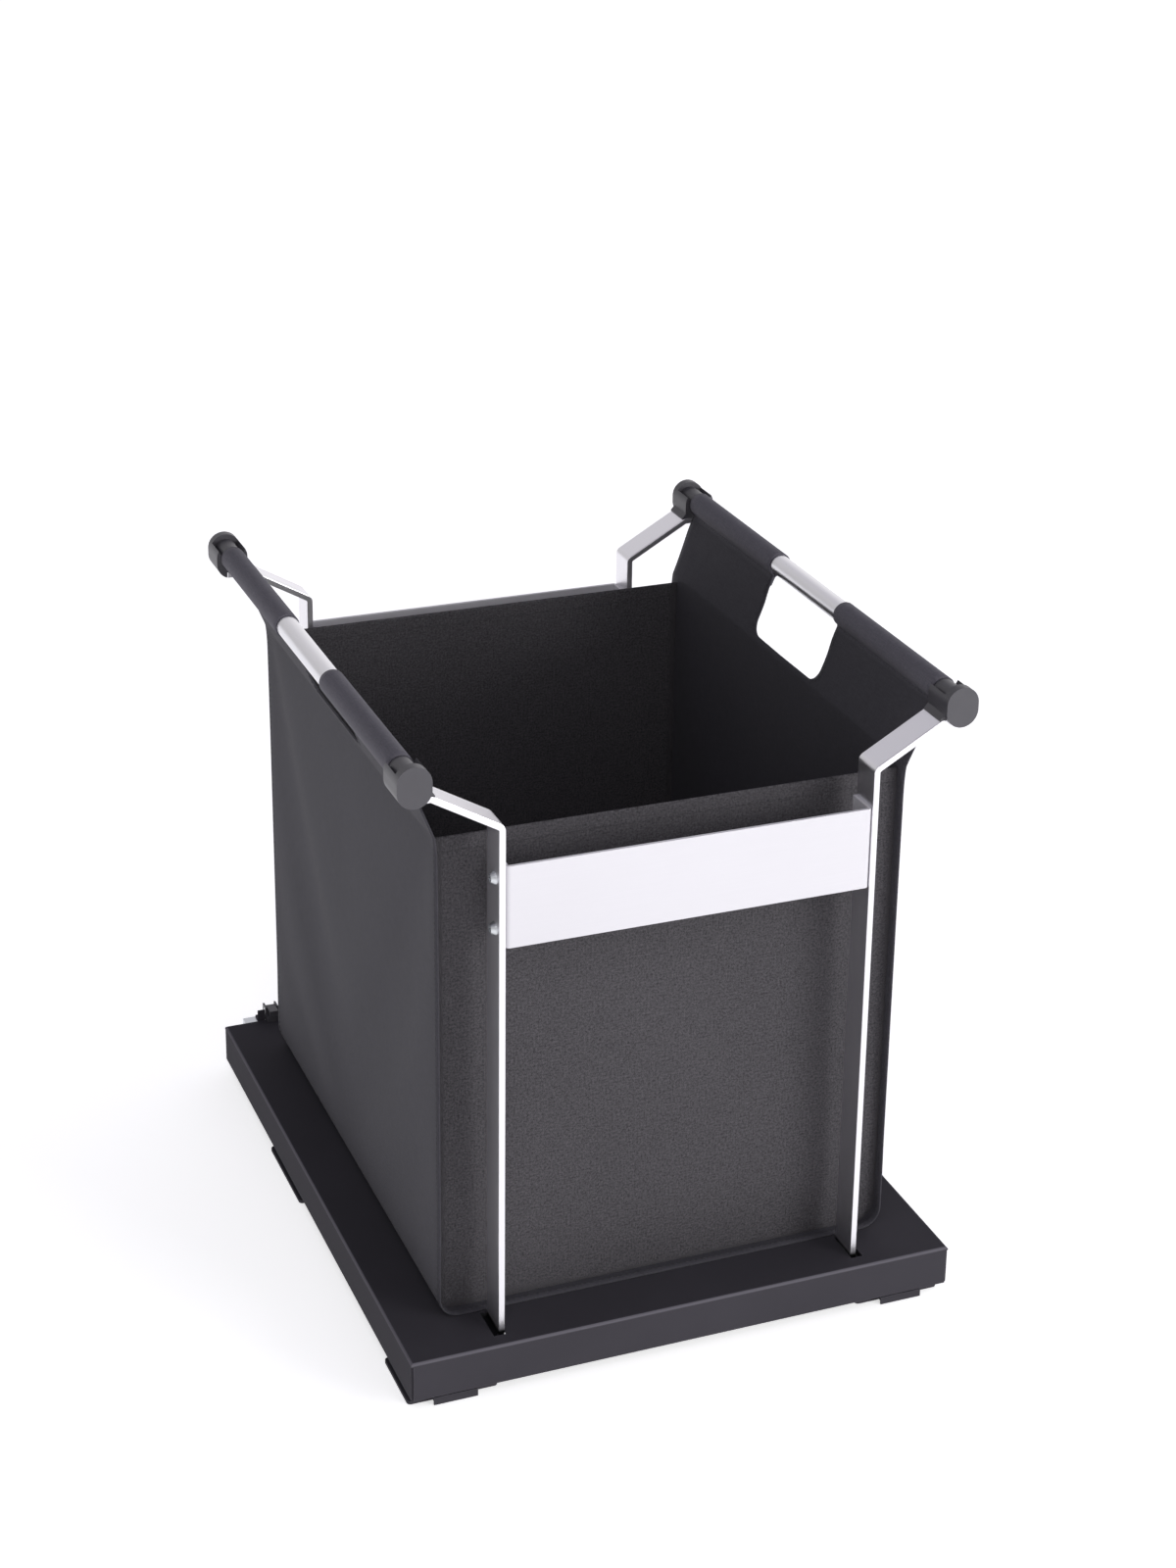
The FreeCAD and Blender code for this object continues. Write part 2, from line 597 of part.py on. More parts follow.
def make_frame_screws():
    screws, nuts = [], []
    grip = "bar_thick + cross_sheet + screw_nut_height + screw_end"
    for side in SIDES.values():
        outward = Rotation(UP, Vector(side, 0, 0))
        for end in ENDS.values():
            for sign in (-1, 1):
                along, level = f"{end} * screw_place", f"screw_level + {sign} * screw_spacing / 2"
                bolt = screw("screw_radius", grip, "screw_head_radius", "screw_head_height",
                             BUTTON_TAPER, "screw_socket")
                screws.append(place(bolt, f"{side} * bar_outer", along, level, outward))
                hexagon = nut("screw_nut_radius", "screw_nut_height", "screw_radius")
                seat = f"{side} * (bar_inner - cross_sheet - screw_nut_height)"
                nuts.append(place(hexagon, seat, along, level, outward))
    group(screws, "frame_screws")
    group(nuts, "frame_nuts")


# ---------------------------------------------------------------- holders on the arm tips
def make_holder(side, end, upright, label):
    """An oblong cradle, open at its top, that reaches down round the arm's tip and ends in a closed disc."""
    centre = f"{side} * tube_across"
    rounds = [rod_along("holder_radius", centre, end, "holder_start", "bar_front + holder_disc", height)
              for height in ("tube_height", "tube_height - disc_drop")]
    middle = box((f"{centre} - holder_radius", f"{centre} + holder_radius"),
                 span(end, "holder_start", "bar_front + holder_disc"),
                 ("tube_height - disc_drop", "tube_height"))
    notch = box(span(side, "tube_across - 2 * holder_radius", "tip_end + notch_clearance"),
                span(end, "holder_start - holder_disc", "bar_front"),
                ("tube_height - 2 * holder_radius", "tip_top"))

    saddle = new_body("Saddle")
    foot = ("tip_corner - saddle_length * cos(arm_angle)", "tip_top - saddle_length * sin(arm_angle)")
    outside = [(foot[0], f"{foot[1]} - bar_thick / 2"), ("tip_corner", "tip_top - bar_thick / 2"),
               ("tube_across", "tip_top - bar_thick / 2"),
               ("tube_across", "tube_height - holder_radius + saddle_rise"),
               ("tube_across - holder_radius + saddle_inset", "tube_height - holder_radius / 2"),
               (f"{foot[0]} - saddle_thick * sin(arm_angle)", f"{foot[1]} + saddle_thick * cos(arm_angle)")]
    profile = outline(saddle, "XZ_Plane", [(f"{side} * ({across})", up) for across, up in outside])
    pad(saddle, profile, "bar_front - holder_start")
    place(saddle, along=f"{end} * (holder_start + bar_front) / 2")

    reach = "plug_end + holder_end_gap"
    bore = rod_along("channel_radius", centre, end, "holder_start - holder_disc", reach, "tube_height")
    mouth = new_body("Mouth")
    top = "holder_radius + mouth_lead"
    wide = "channel_radius + mouth_flare"
    walls = [("-channel_radius", "0"), ("channel_radius", "0"), ("channel_radius", "mouth_lead"),
             (wide, "2 * mouth_lead"), (wide, top), (f"-({wide})", top), (f"-({wide})", "2 * mouth_lead"),
             ("-channel_radius", "mouth_lead")]
    pad(mouth, outline(mouth, "XZ_Plane", walls), f"{reach} - holder_start + holder_disc")
    place(mouth, centre, f"{end} * ({reach} + holder_start - holder_disc) / 2", "tube_height")

    thread = rod((0, 0, 1), "pin_screw_radius", centre, f"{end} * bar_middle", "tip_height",
                 "bar_thick + pin_screw_bite")
    whole = cut(fuse(cut(fuse(*rounds, middle), notch), saddle), upright, bore, mouth, thread)
    piece(whole, label)


def make_frame_and_holders():
    screws = []
    for end_name, end in ENDS.items():
        for side_name, side in SIDES.items():
            upright = make_upright(side, end, f"upright_{end_name}_{side_name}")
            make_holder(side, end, upright, f"tube_holder_{end_name}_{side_name}")
            pin = screw("pin_screw_radius", "bar_thick + pin_screw_bite", "pin_screw_head",
                        "pin_screw_head_height", PAN_TAPER)
            screws.append(place(pin, f"{side} * tube_across", f"{end} * bar_middle", "tip_height",
                                Rotation(Vector(1, 0, 0), 180)))
    group(screws, "holder_screws")


# ---------------------------------------------------------------- rear catches
def make_catch(side, name):
    """A housing that straddles the tray's rear edge and the rail behind it, with a lever on a cross pin."""
    back = "tray_rear + tray_rail_reach - catch_back"
    floor = "tray_height + catch_step"
    wide = span(side, "catch_inner", "catch_outer")
    front_block = box(wide, ("tray_rear - catch_overlap", back), ("tray_height", floor))
    rear_block = box(wide, ("tray_rear + bracket_gap", back), ("tray_under", floor))
    cheeks = [box(span(side, inner, outer), (f"{back} - cheek_depth", back),
                  (floor, "tray_height + cheek_height"))
              for inner, outer in (("catch_inner", "catch_inner + cheek_thick"),
                                   ("catch_outer - cheek_thick", "catch_outer"))]
    pin = ("catch_pin_radius", wide[0], "pin_place", "pin_height", f"({wide[1]}) - ({wide[0]})")
    bore = rod((1, 0, 0), *pin)
    piece(cut(fuse(front_block, rear_block, *cheeks), bore), f"catch_housing_{name}")

    lever_wide = span(side, "catch_inner + cheek_thick + lever_gap", "catch_outer - cheek_thick - lever_gap")
    width = f"({lever_wide[1]}) - ({lever_wide[0]})"
    barrel = rod((1, 0, 0), "lever_barrel", lever_wide[0], "pin_place", "pin_height", width)
    arm = box(lever_wide, ("tray_rear - catch_overlap", "pin_place"),
              ("pin_height + lever_barrel - lever_thick", "pin_height + lever_barrel"))
    nose = box(lever_wide, ("tray_rear - catch_overlap", "tray_rear - catch_overlap + lever_thick"),
               (f"{floor} + lever_gap", "pin_height + lever_barrel"))
    hole = rod((1, 0, 0), "catch_pin_radius + catch_pin_clearance", lever_wide[0], "pin_place",
               "pin_height", width)
    piece(cut(fuse(barrel, arm, nose), hole), f"catch_lever_{name}")

    bracket_wide = span(side, "catch_outer + bracket_gap", "catch_outer + bracket_gap + bracket_width")
    foot = box(bracket_wide, ("tray_rear + bracket_gap", back), ("tray_under", "tray_under + bracket_sheet"))
    blade = box(bracket_wide, ("tray_rear + bracket_gap", "tray_rear + bracket_gap + bracket_sheet"),
                ("tray_under", "tray_height + bracket_height"))
    piece(fuse(foot, blade), f"catch_bracket_{name}")
    return rod((1, 0, 0), *pin)


# ---------------------------------------------------------------- bag
def make_bag_sides():
    for name, side in SIDES.items():
        body = new_body("BagSide")
        corners = [("bag_seam", "bag_bottom"), ("bag_half", "bag_bottom"),
                   ("bag_half", "fold_height"), ("bag_inside", "fold_height"),
                   ("bag_inside", "bag_bottom + fabric"), ("bag_seam", "bag_bottom + fabric")]
        profile = outline(body, "XZ_Plane", [(f"{side} * ({across})", up) for across, up in corners])
        pad(body, profile, "2 * wrap_edge")
        round_over(body, profile, (1,), "bag_corner")
        round_over(body, profile, (4,), "bag_corner - fabric")
        piece(place(body), f"bag_side_{name}")


def make_bag_ends():
    for name, end in ENDS.items():
        body = new_body("BagEnd")
        panel = rectangle(body, "XZ_Plane", ("-bag_inside", "bag_inside"),
                          ("bag_bottom + fabric", "rim_height"))
        pad(body, panel, "fabric")
        round_over(body, panel, (0, 1), "bag_corner - fabric")
        place(body, along=f"{end} * (panel_place - fabric / 2)")
        piece(body, f"bag_{name}_panel")


def make_bag_floor():
    floor = box(("-bag_seam", "bag_seam"), ("-wrap_edge", "wrap_edge"), ("bag_bottom", "bag_bottom + fabric"))
    piece(floor, "bag_floor")
    depth = "panel_place - fabric - board_margin"
    board = box(("-bag_seam", "bag_seam"), (f"-({depth})", depth),
                ("bag_bottom + fabric", "bag_bottom + fabric + board_sheet"))
    piece(board, "bag_base_board")


def make_bag_flaps():
    """Each flap hangs from its two sleeves; it is modelled about the tube's axis and then leaned inwards."""
    inner = "tube_radius + sleeve_clearance"
    outer = "tube_radius + sleeve_clearance + sleeve_wall"
    for name, side in SIDES.items():
        body = new_body("BagFlap")
        cloth = rectangle(body, "YZ_Plane", ("-wrap_edge", "wrap_edge"),
                          ("-flap_length", f"-({inner} + {outer}) / 2"))
        pad(body, cloth, "fabric")
        ring = circles(body, "XZ_Plane", [("0", "0", outer), ("0", "0", inner)])
        pad(body, ring, "2 * sleeve_end")
        hand = rectangle(body, "YZ_Plane", ("-sleeve_start", "sleeve_start"),
                         ("hand_sill - flap_length", "2 * tube_radius"))
        pocket(body, hand, "4 * tube_radius")
        round_over(body, hand, (0, 1), "hand_corner")
        body.Placement = Placement(Vector(), Rotation(Vector(0, side, 0), 1))
        body.setExpression("Placement.Rotation.Angle", cells("flap_angle"))
        place(body, f"{side} * tube_across", height="tube_height")
        piece(body, f"bag_flap_{name}")


def make_tubes():
    for name, side in SIDES.items():
        centre = f"{side} * tube_across"
        outside, bore = [rod((0, 1, 0), radius, centre, "-tube_end", "tube_height", "2 * tube_end")
                         for radius in ("tube_radius", "tube_radius - tube_wall")]
        piece(cut(outside, bore), f"carry_tube_{name}")
        for end_name, end in ENDS.items():
            collar = rod_along("plug_radius", centre, end, "tube_end", "plug_end", "tube_height")
            spigot = rod_along("tube_radius - tube_wall - spigot_clearance", centre, end,
                               "tube_end - plug_spigot", "tube_end", "tube_height")
            piece(fuse(collar, spigot), f"tube_plug_{end_name}_{name}")


# ---------------------------------------------------------------- build, check and write
make_floor_plates()
make_cabinet_rails()
make_rivets()
make_buffers()
make_intermediate_rails()
make_ball_cages()
make_tray_rails()
make_tray()
make_studs_and_nuts()
make_frame_and_holders()
make_cross_plates()
make_frame_screws()
catch_pins = [make_catch(side, name) for name, side in SIDES.items()]
group(catch_pins, "catch_pins")
make_bag_sides()
make_bag_ends()
make_bag_floor()
make_bag_flaps()
make_tubes()

doc.recompute()
for item in doc.Objects:
    if "Invalid" in item.State or "Error" in item.State:
        raise ValueError(f"{item.Name} ({item.Label}) did not build: {item.State}")
os.makedirs("parts", exist_ok=True)
for item in pieces:
    if item.Shape.isNull() or not item.Shape.isValid() or not item.Shape.Solids:
        raise ValueError(f"{item.Label} has no valid solid")
    item.Shape.exportStep(f"parts/{item.Label}.step")
print(len(pieces), "sub-parts written")
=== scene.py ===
"""Looks of the pull-out waste bag carrier: materials for its metal and plastic pieces, and the sewn bag.

Metres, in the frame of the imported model: +Z up, -Y to the front. Lengths of cloth are along the cloth."""
import bpy
import json
import math
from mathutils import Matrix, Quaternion, Vector


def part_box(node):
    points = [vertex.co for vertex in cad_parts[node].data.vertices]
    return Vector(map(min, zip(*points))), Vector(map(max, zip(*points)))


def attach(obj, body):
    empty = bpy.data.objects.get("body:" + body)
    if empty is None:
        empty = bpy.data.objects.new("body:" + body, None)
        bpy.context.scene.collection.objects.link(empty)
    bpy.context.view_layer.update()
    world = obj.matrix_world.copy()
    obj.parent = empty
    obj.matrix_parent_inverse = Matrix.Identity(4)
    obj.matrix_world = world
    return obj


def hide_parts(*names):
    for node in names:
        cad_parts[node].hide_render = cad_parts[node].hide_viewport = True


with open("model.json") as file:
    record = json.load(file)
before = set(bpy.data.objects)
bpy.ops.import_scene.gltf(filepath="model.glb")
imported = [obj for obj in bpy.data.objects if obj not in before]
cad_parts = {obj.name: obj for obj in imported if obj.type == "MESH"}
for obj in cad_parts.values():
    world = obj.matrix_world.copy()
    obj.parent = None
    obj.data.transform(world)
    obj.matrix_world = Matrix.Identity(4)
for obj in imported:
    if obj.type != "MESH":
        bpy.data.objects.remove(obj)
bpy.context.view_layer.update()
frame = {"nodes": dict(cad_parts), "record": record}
nodes = frame["nodes"]

MM = 0.001
SIDES = {"left": -1, "right": 1}
ENDS = {"front": -1, "rear": 1}


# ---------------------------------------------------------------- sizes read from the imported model
tray_low, tray_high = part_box("tray")
middle = (tray_low.y + tray_high.y) / 2
side_low, side_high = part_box("bag_side_right")
panel_low, panel_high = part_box("bag_front_panel")
tube_low, tube_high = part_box("carry_tube_right")
flap_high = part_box("bag_flap_right")[1]

SHEET = 1.1 * MM
HALF_SHEET = SHEET / 2
CORNER = 15 * MM             # radius of the bag's lower corners
BAG_HALF = side_high.x
BAG_BOTTOM = side_low.z
FOLD = side_high.z
RIM = panel_high.z
WRAP_EDGE = side_high.y - middle
PANEL_AT = middle - panel_low.y
TUBE = Vector(((tube_low.x + tube_high.x) / 2, 0, (tube_low.z + tube_high.z) / 2))
TUBE_RADIUS = (tube_high.x - tube_low.x) / 2
SLEEVE_END = flap_high.y - middle
SLEEVE_MIDDLE = TUBE_RADIUS + 0.1 * MM + HALF_SHEET
NECK = 2.5 * MM              # radius where the cloth turns from the flap into the sleeve
OVERLAP = 8 * MM             # how far the sleeve's end lies on the flap, below the tube
OVERLAP_INSET = 1.5 * MM
OVERLAP_GAP = 0.15 * MM
EDGE_INSET = 0.5 * MM
FLAP_SPREAD = 45 * MM        # over this length above the fold the flap widens to the sleeve's width
HAND_HALF = 56 * MM
HAND_CORNER = 12 * MM
HAND_SILL = 3 * MM           # from the flap's fold up to the hand hole
WALL_STEP = 9 * MM
RIM_STEP = 3 * MM
OVERLAP_STEP = 2.5 * MM
SIDE_COLUMNS = 17
HAND_COLUMNS = 10

HEM = 12 * MM
HEM_TURN = SHEET + 0.1 * MM
THREAD = 0.3 * MM            # radius of the sewing thread
THREAD_SIDES = 6
STITCH_LONG = 3.4 * MM
STITCH_GAP = 1.1 * MM
STITCH_PITCH = STITCH_LONG + STITCH_GAP
SLEEVE_ROW = 5 * MM          # from the sleeve down to its row of stitches
LIP_ROW = 0.42               # places of the other rows, as shares of one mesh cell
HOLE_ROW = 0.45
HEM_ROW = 0.1

BAR_THICK = 4.5 * MM
SLOT_GAP = 4.4 * MM          # free width of a tray slot beside its upright
SLOT_END = 2.5 * MM
# Sizes of the black pads at the slot ends, dark blocks standing in for shade.
SHADE_BLOCK_LAP = 3 * MM
SHADE_BLOCK_DROP = 0.8 * MM
BLOCK_FACES = ((0, 1, 3, 2), (4, 6, 7, 5), (0, 4, 5, 1), (2, 3, 7, 6), (0, 2, 6, 4), (1, 5, 7, 3))


# ---------------------------------------------------------------- node helpers
def new_material(name):
    material = bpy.data.materials.new(name)
    material.use_nodes = True
    tree = material.node_tree
    tree.nodes.clear()
    shader = tree.nodes.new("ShaderNodeBsdfPrincipled")
    output = tree.nodes.new("ShaderNodeOutputMaterial")
    tree.links.new(shader.outputs[0], output.inputs[0])
    return material, tree, shader


def math_node(tree, operation, first, second=0.5, third=None):
    node = tree.nodes.new("ShaderNodeMath")
    node.operation = operation
    for socket, value in zip(node.inputs, (first, second, third)):
        if isinstance(value, (int, float)):
            socket.default_value = value
        elif value is not None:
            tree.links.new(value, socket)
    return node.outputs[0]


def mapped(tree, source, scale):
    node = tree.nodes.new("ShaderNodeMapping")
    node.inputs["Scale"].default_value = scale
    tree.links.new(source, node.inputs["Vector"])
    return node.outputs[0]


def place_of(tree, flat=False):
    """Where a point lies: in its own piece, in metres, or on the flat cut of a cloth."""
    if flat:
        node = tree.nodes.new("ShaderNodeUVMap")
        node.uv_map = "flat_cut"
        return node.outputs[0]
    return tree.nodes.new("ShaderNodeTexCoord").outputs["Object"]


def noise(tree, vector, scale, detail=2.0, rough=0.5):
    node = tree.nodes.new("ShaderNodeTexNoise")
    node.inputs["Scale"].default_value = scale
    node.inputs["Detail"].default_value = detail
    node.inputs["Roughness"].default_value = rough
    tree.links.new(vector, node.inputs["Vector"])
    return node.outputs["Fac"]


def spread(tree, value, low, high, start=0.0, end=1.0):
    node = tree.nodes.new("ShaderNodeMapRange")
    tree.links.new(value, node.inputs["Value"])
    for name, number in zip(("From Min", "From Max", "To Min", "To Max"), (start, end, low, high)):
        node.inputs[name].default_value = number
    return node.outputs[0]


def mix_colours(tree, amount, first, second):
    node = tree.nodes.new("ShaderNodeMix")
    node.data_type = "RGBA"
    tree.links.new(amount, node.inputs["Factor"])
    for socket, colour in ((node.inputs["A"], first), (node.inputs["B"], second)):
        if isinstance(colour, tuple):
            socket.default_value = (*colour, 1)
        else:
            tree.links.new(colour, socket)
    return node.outputs["Result"]


def bump(tree, height, distance, strength=1.0, before=None):
    node = tree.nodes.new("ShaderNodeBump")
    node.inputs["Distance"].default_value = distance
    node.inputs["Strength"].default_value = strength
    tree.links.new(height, node.inputs["Height"])
    if before is not None:
        tree.links.new(before, node.inputs["Normal"])
    return node.outputs[0]


# Painted highlight: a paler band on the rounded bends, standing in for the light that the folds catch.
def painted_bend_highlight(tree, amount):
    """0 on level and upright faces, rising towards 1 on the rounded bends between them."""
    split = tree.nodes.new("ShaderNodeSeparateXYZ")
    tree.links.new(tree.nodes.new("ShaderNodeNewGeometry").outputs["Normal"], split.inputs[0])
    level = math_node(tree, "ABSOLUTE", split.outputs["Z"])
    square = math_node(tree, "POWER", level, 2.0)
    upright = math_node(tree, "SQRT", math_node(tree, "SUBTRACT", 1.0, square))
    return spread(tree, math_node(tree, "MULTIPLY", level, upright), 0.0, amount, 0.12, 0.4)


def worn_edges(tree, radius, amount):
    """0 on flat faces, rising towards 1 on edges, broken up by a fine noise."""
    bevel = tree.nodes.new("ShaderNodeBevel")
    bevel.samples = 4
    bevel.inputs["Radius"].default_value = radius
    plain = tree.nodes.new("ShaderNodeNewGeometry")
    product = tree.nodes.new("ShaderNodeVectorMath")
    product.operation = "DOT_PRODUCT"
    tree.links.new(bevel.outputs[0], product.inputs[0])
    tree.links.new(plain.outputs["Normal"], product.inputs[1])
    edge = spread(tree, product.outputs["Value"], 1.0, 0.0, 0.75, 0.995)
    patches = spread(tree, noise(tree, place_of(tree), 90, 3), 0.35, 1.0, 0.35, 0.6)
    return math_node(tree, "MULTIPLY", math_node(tree, "MULTIPLY", edge, patches), amount)


# ---------------------------------------------------------------- materials of the hard pieces
def powder_coat(name, colour, roughness, specular, grain=1.0):
    """Fine-textured black coating, rubbed paler on its edges, with a painted highlight along its bends."""
    material, tree, shader = new_material(name)
    place = place_of(tree)
    cloudy = noise(tree, place, 14, 3)
    fine = noise(tree, place, 1400, 2, 0.6)
    peel = noise(tree, place, 420, 2)
    base = mix_colours(tree, cloudy, tuple(0.88 * c for c in colour), tuple(1.12 * c for c in colour))
    # Paler edges are wear; the paler bends are a painted highlight.
    paler_mask = math_node(tree, "MAXIMUM", worn_edges(tree, 0.8 * MM, 0.6), painted_bend_highlight(tree, 0.8))
    tree.links.new(mix_colours(tree, paler_mask, base, tuple(2.6 * c + 0.02 for c in colour)),
                   shader.inputs["Base Color"])
    rough = math_node(tree, "ADD", spread(tree, fine, -0.07, 0.07), spread(tree, cloudy, -0.05, 0.05))
    tree.links.new(math_node(tree, "ADD", rough, roughness), shader.inputs["Roughness"])
    shader.inputs["Specular IOR Level"].default_value = specular
    first = bump(tree, peel, 0.05 * MM * grain, 0.5)
    tree.links.new(bump(tree, fine, 0.02 * MM * grain, 0.6, first), shader.inputs["Normal"])
    return material


def brushed(name, colour, roughness, stretch, scratch=0.012, metallic=1.0, shaded_below=None):
    """Satin metal with its grain drawn out along one axis, its colour darkened below shaded_below if given,
    as painted shade.
    """
    material, tree, shader = new_material(name)
    place = place_of(tree)
    grain = noise(tree, mapped(tree, place, stretch), 1.0, 4, 0.65)
    cloudy = noise(tree, place, 9, 3)
    shade = math_node(tree, "ADD", spread(tree, grain, -0.03, 0.03), spread(tree, cloudy, 0.97, 1.03))
    scaled = tree.nodes.new("ShaderNodeVectorMath")
    scaled.operation = "SCALE"
    scaled.inputs[0].default_value = colour
    tree.links.new(shade, scaled.inputs["Scale"])
    finish = scaled.outputs[0]
    # Painted shade: below shaded_below the colour fades to near-black, standing in for the shade where the
    # bar's foot goes down into the tray's slot.
    if shaded_below is not None:
        split = tree.nodes.new("ShaderNodeSeparateXYZ")
        tree.links.new(place, split.inputs[0])
        foot_shade_mask = spread(tree, split.outputs["Z"], 1.0, 0.0, shaded_below, shaded_below + FOOT_SHADE_FADE)
        finish = mix_colours(tree, foot_shade_mask, finish, FOOT_SHADE_COLOUR)
    tree.links.new(finish, shader.inputs["Base Color"])
    shader.inputs["Metallic"].default_value = metallic
    rough = math_node(tree, "ADD", spread(tree, grain, -0.06, 0.06), spread(tree, cloudy, -0.03, 0.03))
    tree.links.new(math_node(tree, "ADD", rough, roughness), shader.inputs["Roughness"])
    tree.links.new(bump(tree, grain, scratch * MM, 0.35), shader.inputs["Normal"])
    return material


def moulded(name, colour, roughness, specular=0.4):
    """Moulded black plastic with a fine spark texture and rubbed edges."""
    material, tree, shader = new_material(name)
    place = place_of(tree)
    cloudy = noise(tree, place, 40, 3)
    spark = noise(tree, place, 1900, 2, 0.7)
    base = mix_colours(tree, cloudy, tuple(0.85 * c for c in colour), tuple(1.15 * c for c in colour))
    paler_mask = worn_edges(tree, 0.5 * MM, 0.5)
    tree.links.new(mix_colours(tree, paler_mask, base, tuple(1.8 * c + 0.01 for c in colour)),
                   shader.inputs["Base Color"])
    tree.links.new(math_node(tree, "ADD", spread(tree, spark, -0.08, 0.08), roughness),
                   shader.inputs["Roughness"])
    shader.inputs["Specular IOR Level"].default_value = specular
    tree.links.new(bump(tree, spark, 0.015 * MM, 0.6), shader.inputs["Normal"])
    return material


# Near-black colour and fade height of the painted shade at the feet of the uprights.
FOOT_SHADE_COLOUR = (0.03, 0.03, 0.032)
FOOT_SHADE_FADE = 2.5 * MM
ALONG_Y = (900, 14, 900)
ALONG_X = (14, 900, 900)
UPRIGHT = (900, 900, 12)
COATED = powder_coat("coated_steel", (0.046, 0.0435, 0.051), 0.7, 0.04)
FINISHES = {
    "black_coated_steel": COATED,
    # The uprights get painted shade at the tray's top, where their feet go into its slots.
    "satin_bar": brushed("satin_bar", (0.83, 0.82, 0.85), 0.34, UPRIGHT, metallic=0.98,
                         shaded_below=tray_high.z + 0.8 * MM),
    "tube_metal": brushed("satin_tube", (0.75, 0.745, 0.77), 0.3, ALONG_Y),
    "black_plastic": moulded("black_plastic", (0.062, 0.06, 0.068), 0.4),
    "buffer_rubber": moulded("buffer_rubber", (0.02, 0.02, 0.02), 0.75, 0.25),
    "zinc_steel": brushed("zinc_steel", (0.62, 0.64, 0.66), 0.36, ALONG_Y, 0.006),
    "ball_steel": brushed("ball_steel", (0.8, 0.8, 0.8), 0.12, (300, 300, 300), 0.002),
    "base_board": powder_coat("base_board", (0.02, 0.02, 0.022), 0.7, 0.2, 3.0),
}
PLATE_FINISH = brushed("satin_plate", (0.64, 0.63, 0.66), 0.5, ALONG_X, metallic=0.3)
SOFT_NODES = {name for name in nodes if name.startswith("bag_") and name != "bag_base_board"}


def finish_hard_pieces():
    slots = {row["node"]: row["material_slot"] for row in frame["record"]["subparts"]}
    for name, item in nodes.items():
        if name in SOFT_NODES:
            continue
        finish = PLATE_FINISH if name.startswith("cross_plate") else FINISHES[slots[name]]
        for material_slot in item.material_slots:
            material_slot.material = finish


# width of the bevel in millimetres, by the start of a node's name
EDGES = {"upright": 0.5, "cross_plate": 0.25, "tray": 0.3, "tube_holder": 0.35, "tube_plug": 0.25,
         "catch_housing": 0.25, "catch_lever": 0.2, "catch_bracket": 0.2, "floor_plate_front": 0.3,
         "floor_plate_rear": 0.3, "carry_tube": 0.2, "frame_screws": 0.35, "frame_nuts": 0.3,
         "cabinet_rail": 0.2, "tray_rail": 0.2, "bag_base_board": 0.6}


def soften_edges():
    """Small bevels, so that edges catch the light as folded and moulded edges do."""
    for name, item in nodes.items():
        width = next((size for start, size in EDGES.items() if name.startswith(start)), None)
        if width is None or name in SOFT_NODES:
            continue
        weld = item.modifiers.new("Weld", "WELD")
        weld.merge_threshold = 0.002 * MM
        bevel = item.modifiers.new("Bevel", "BEVEL")
        bevel.width = width * MM
        bevel.segments = 2
        bevel.limit_method = "ANGLE"
        bevel.angle_limit = math.radians(40)
        bevel.harden_normals = True
        bevel.use_clamp_overlap = True
        normals = item.modifiers.new("Normals", "WEIGHTED_NORMAL")
        normals.keep_sharp = True


# ---------------------------------------------------------------- camera, floor and lights
def make_camera():
    """The picture's viewpoint: front left, from a little above the bag's rim."""
    data = bpy.data.cameras.new("camera")
    data.sensor_width = 36
    data.lens = 65.9
    data.shift_y = -0.13
    data.clip_start, data.clip_end = 0.05, 60
    camera = bpy.data.objects.new("camera", data)
    bpy.context.scene.collection.objects.link(camera)
    azimuth, elevation, roll = math.radians(21.6), math.radians(20.23), math.radians(0.74)
    forward = Vector((math.sin(azimuth) * math.cos(elevation), math.cos(azimuth) * math.cos(elevation),
                      -math.sin(elevation)))
    camera.rotation_mode = "QUATERNION"
    camera.rotation_quaternion = forward.to_track_quat("-Z", "Y") @ Quaternion((0, 0, 1), roll)
    camera.location = (-0.704, -1.8211, 1.2142)
    bpy.context.scene.camera = camera


def make_floor():
    half = 14
    mesh = bpy.data.meshes.new("studio_floor")
    mesh.from_pydata([(-half, -half, 0), (half, -half, 0), (half, half, 0), (-half, half, 0)], [],
                     [(0, 1, 2, 3)])
    ground = bpy.data.objects.new("studio_floor", mesh)
    bpy.context.scene.collection.objects.link(ground)
    material, tree, shader = new_material("studio_floor")
    speck = noise(tree, place_of(tree), 3, 3)
    tree.links.new(mix_colours(tree, speck, (0.93, 0.93, 0.93), (0.96, 0.96, 0.96)),
                   shader.inputs["Base Color"])
    shader.inputs["Roughness"].default_value = 0.9
    shader.inputs["Specular IOR Level"].default_value = 0.1
    shader.inputs["Emission Color"].default_value = (1, 1, 1, 1)
    shader.inputs["Emission Strength"].default_value = 0.6
    mesh.materials.append(material)


def area_light(name, place, target, size, power, colour=(1, 1, 1)):
    data = bpy.data.lights.new(name, "AREA")
    data.shape = "RECTANGLE"
    data.size, data.size_y = size
    data.energy = power
    data.color = colour
    light = bpy.data.objects.new(name, data)
    light.location = place
    light.rotation_mode = "QUATERNION"
    light.rotation_quaternion = (Vector(target) - Vector(place)).to_track_quat("-Z", "Y")
    bpy.context.scene.collection.objects.link(light)


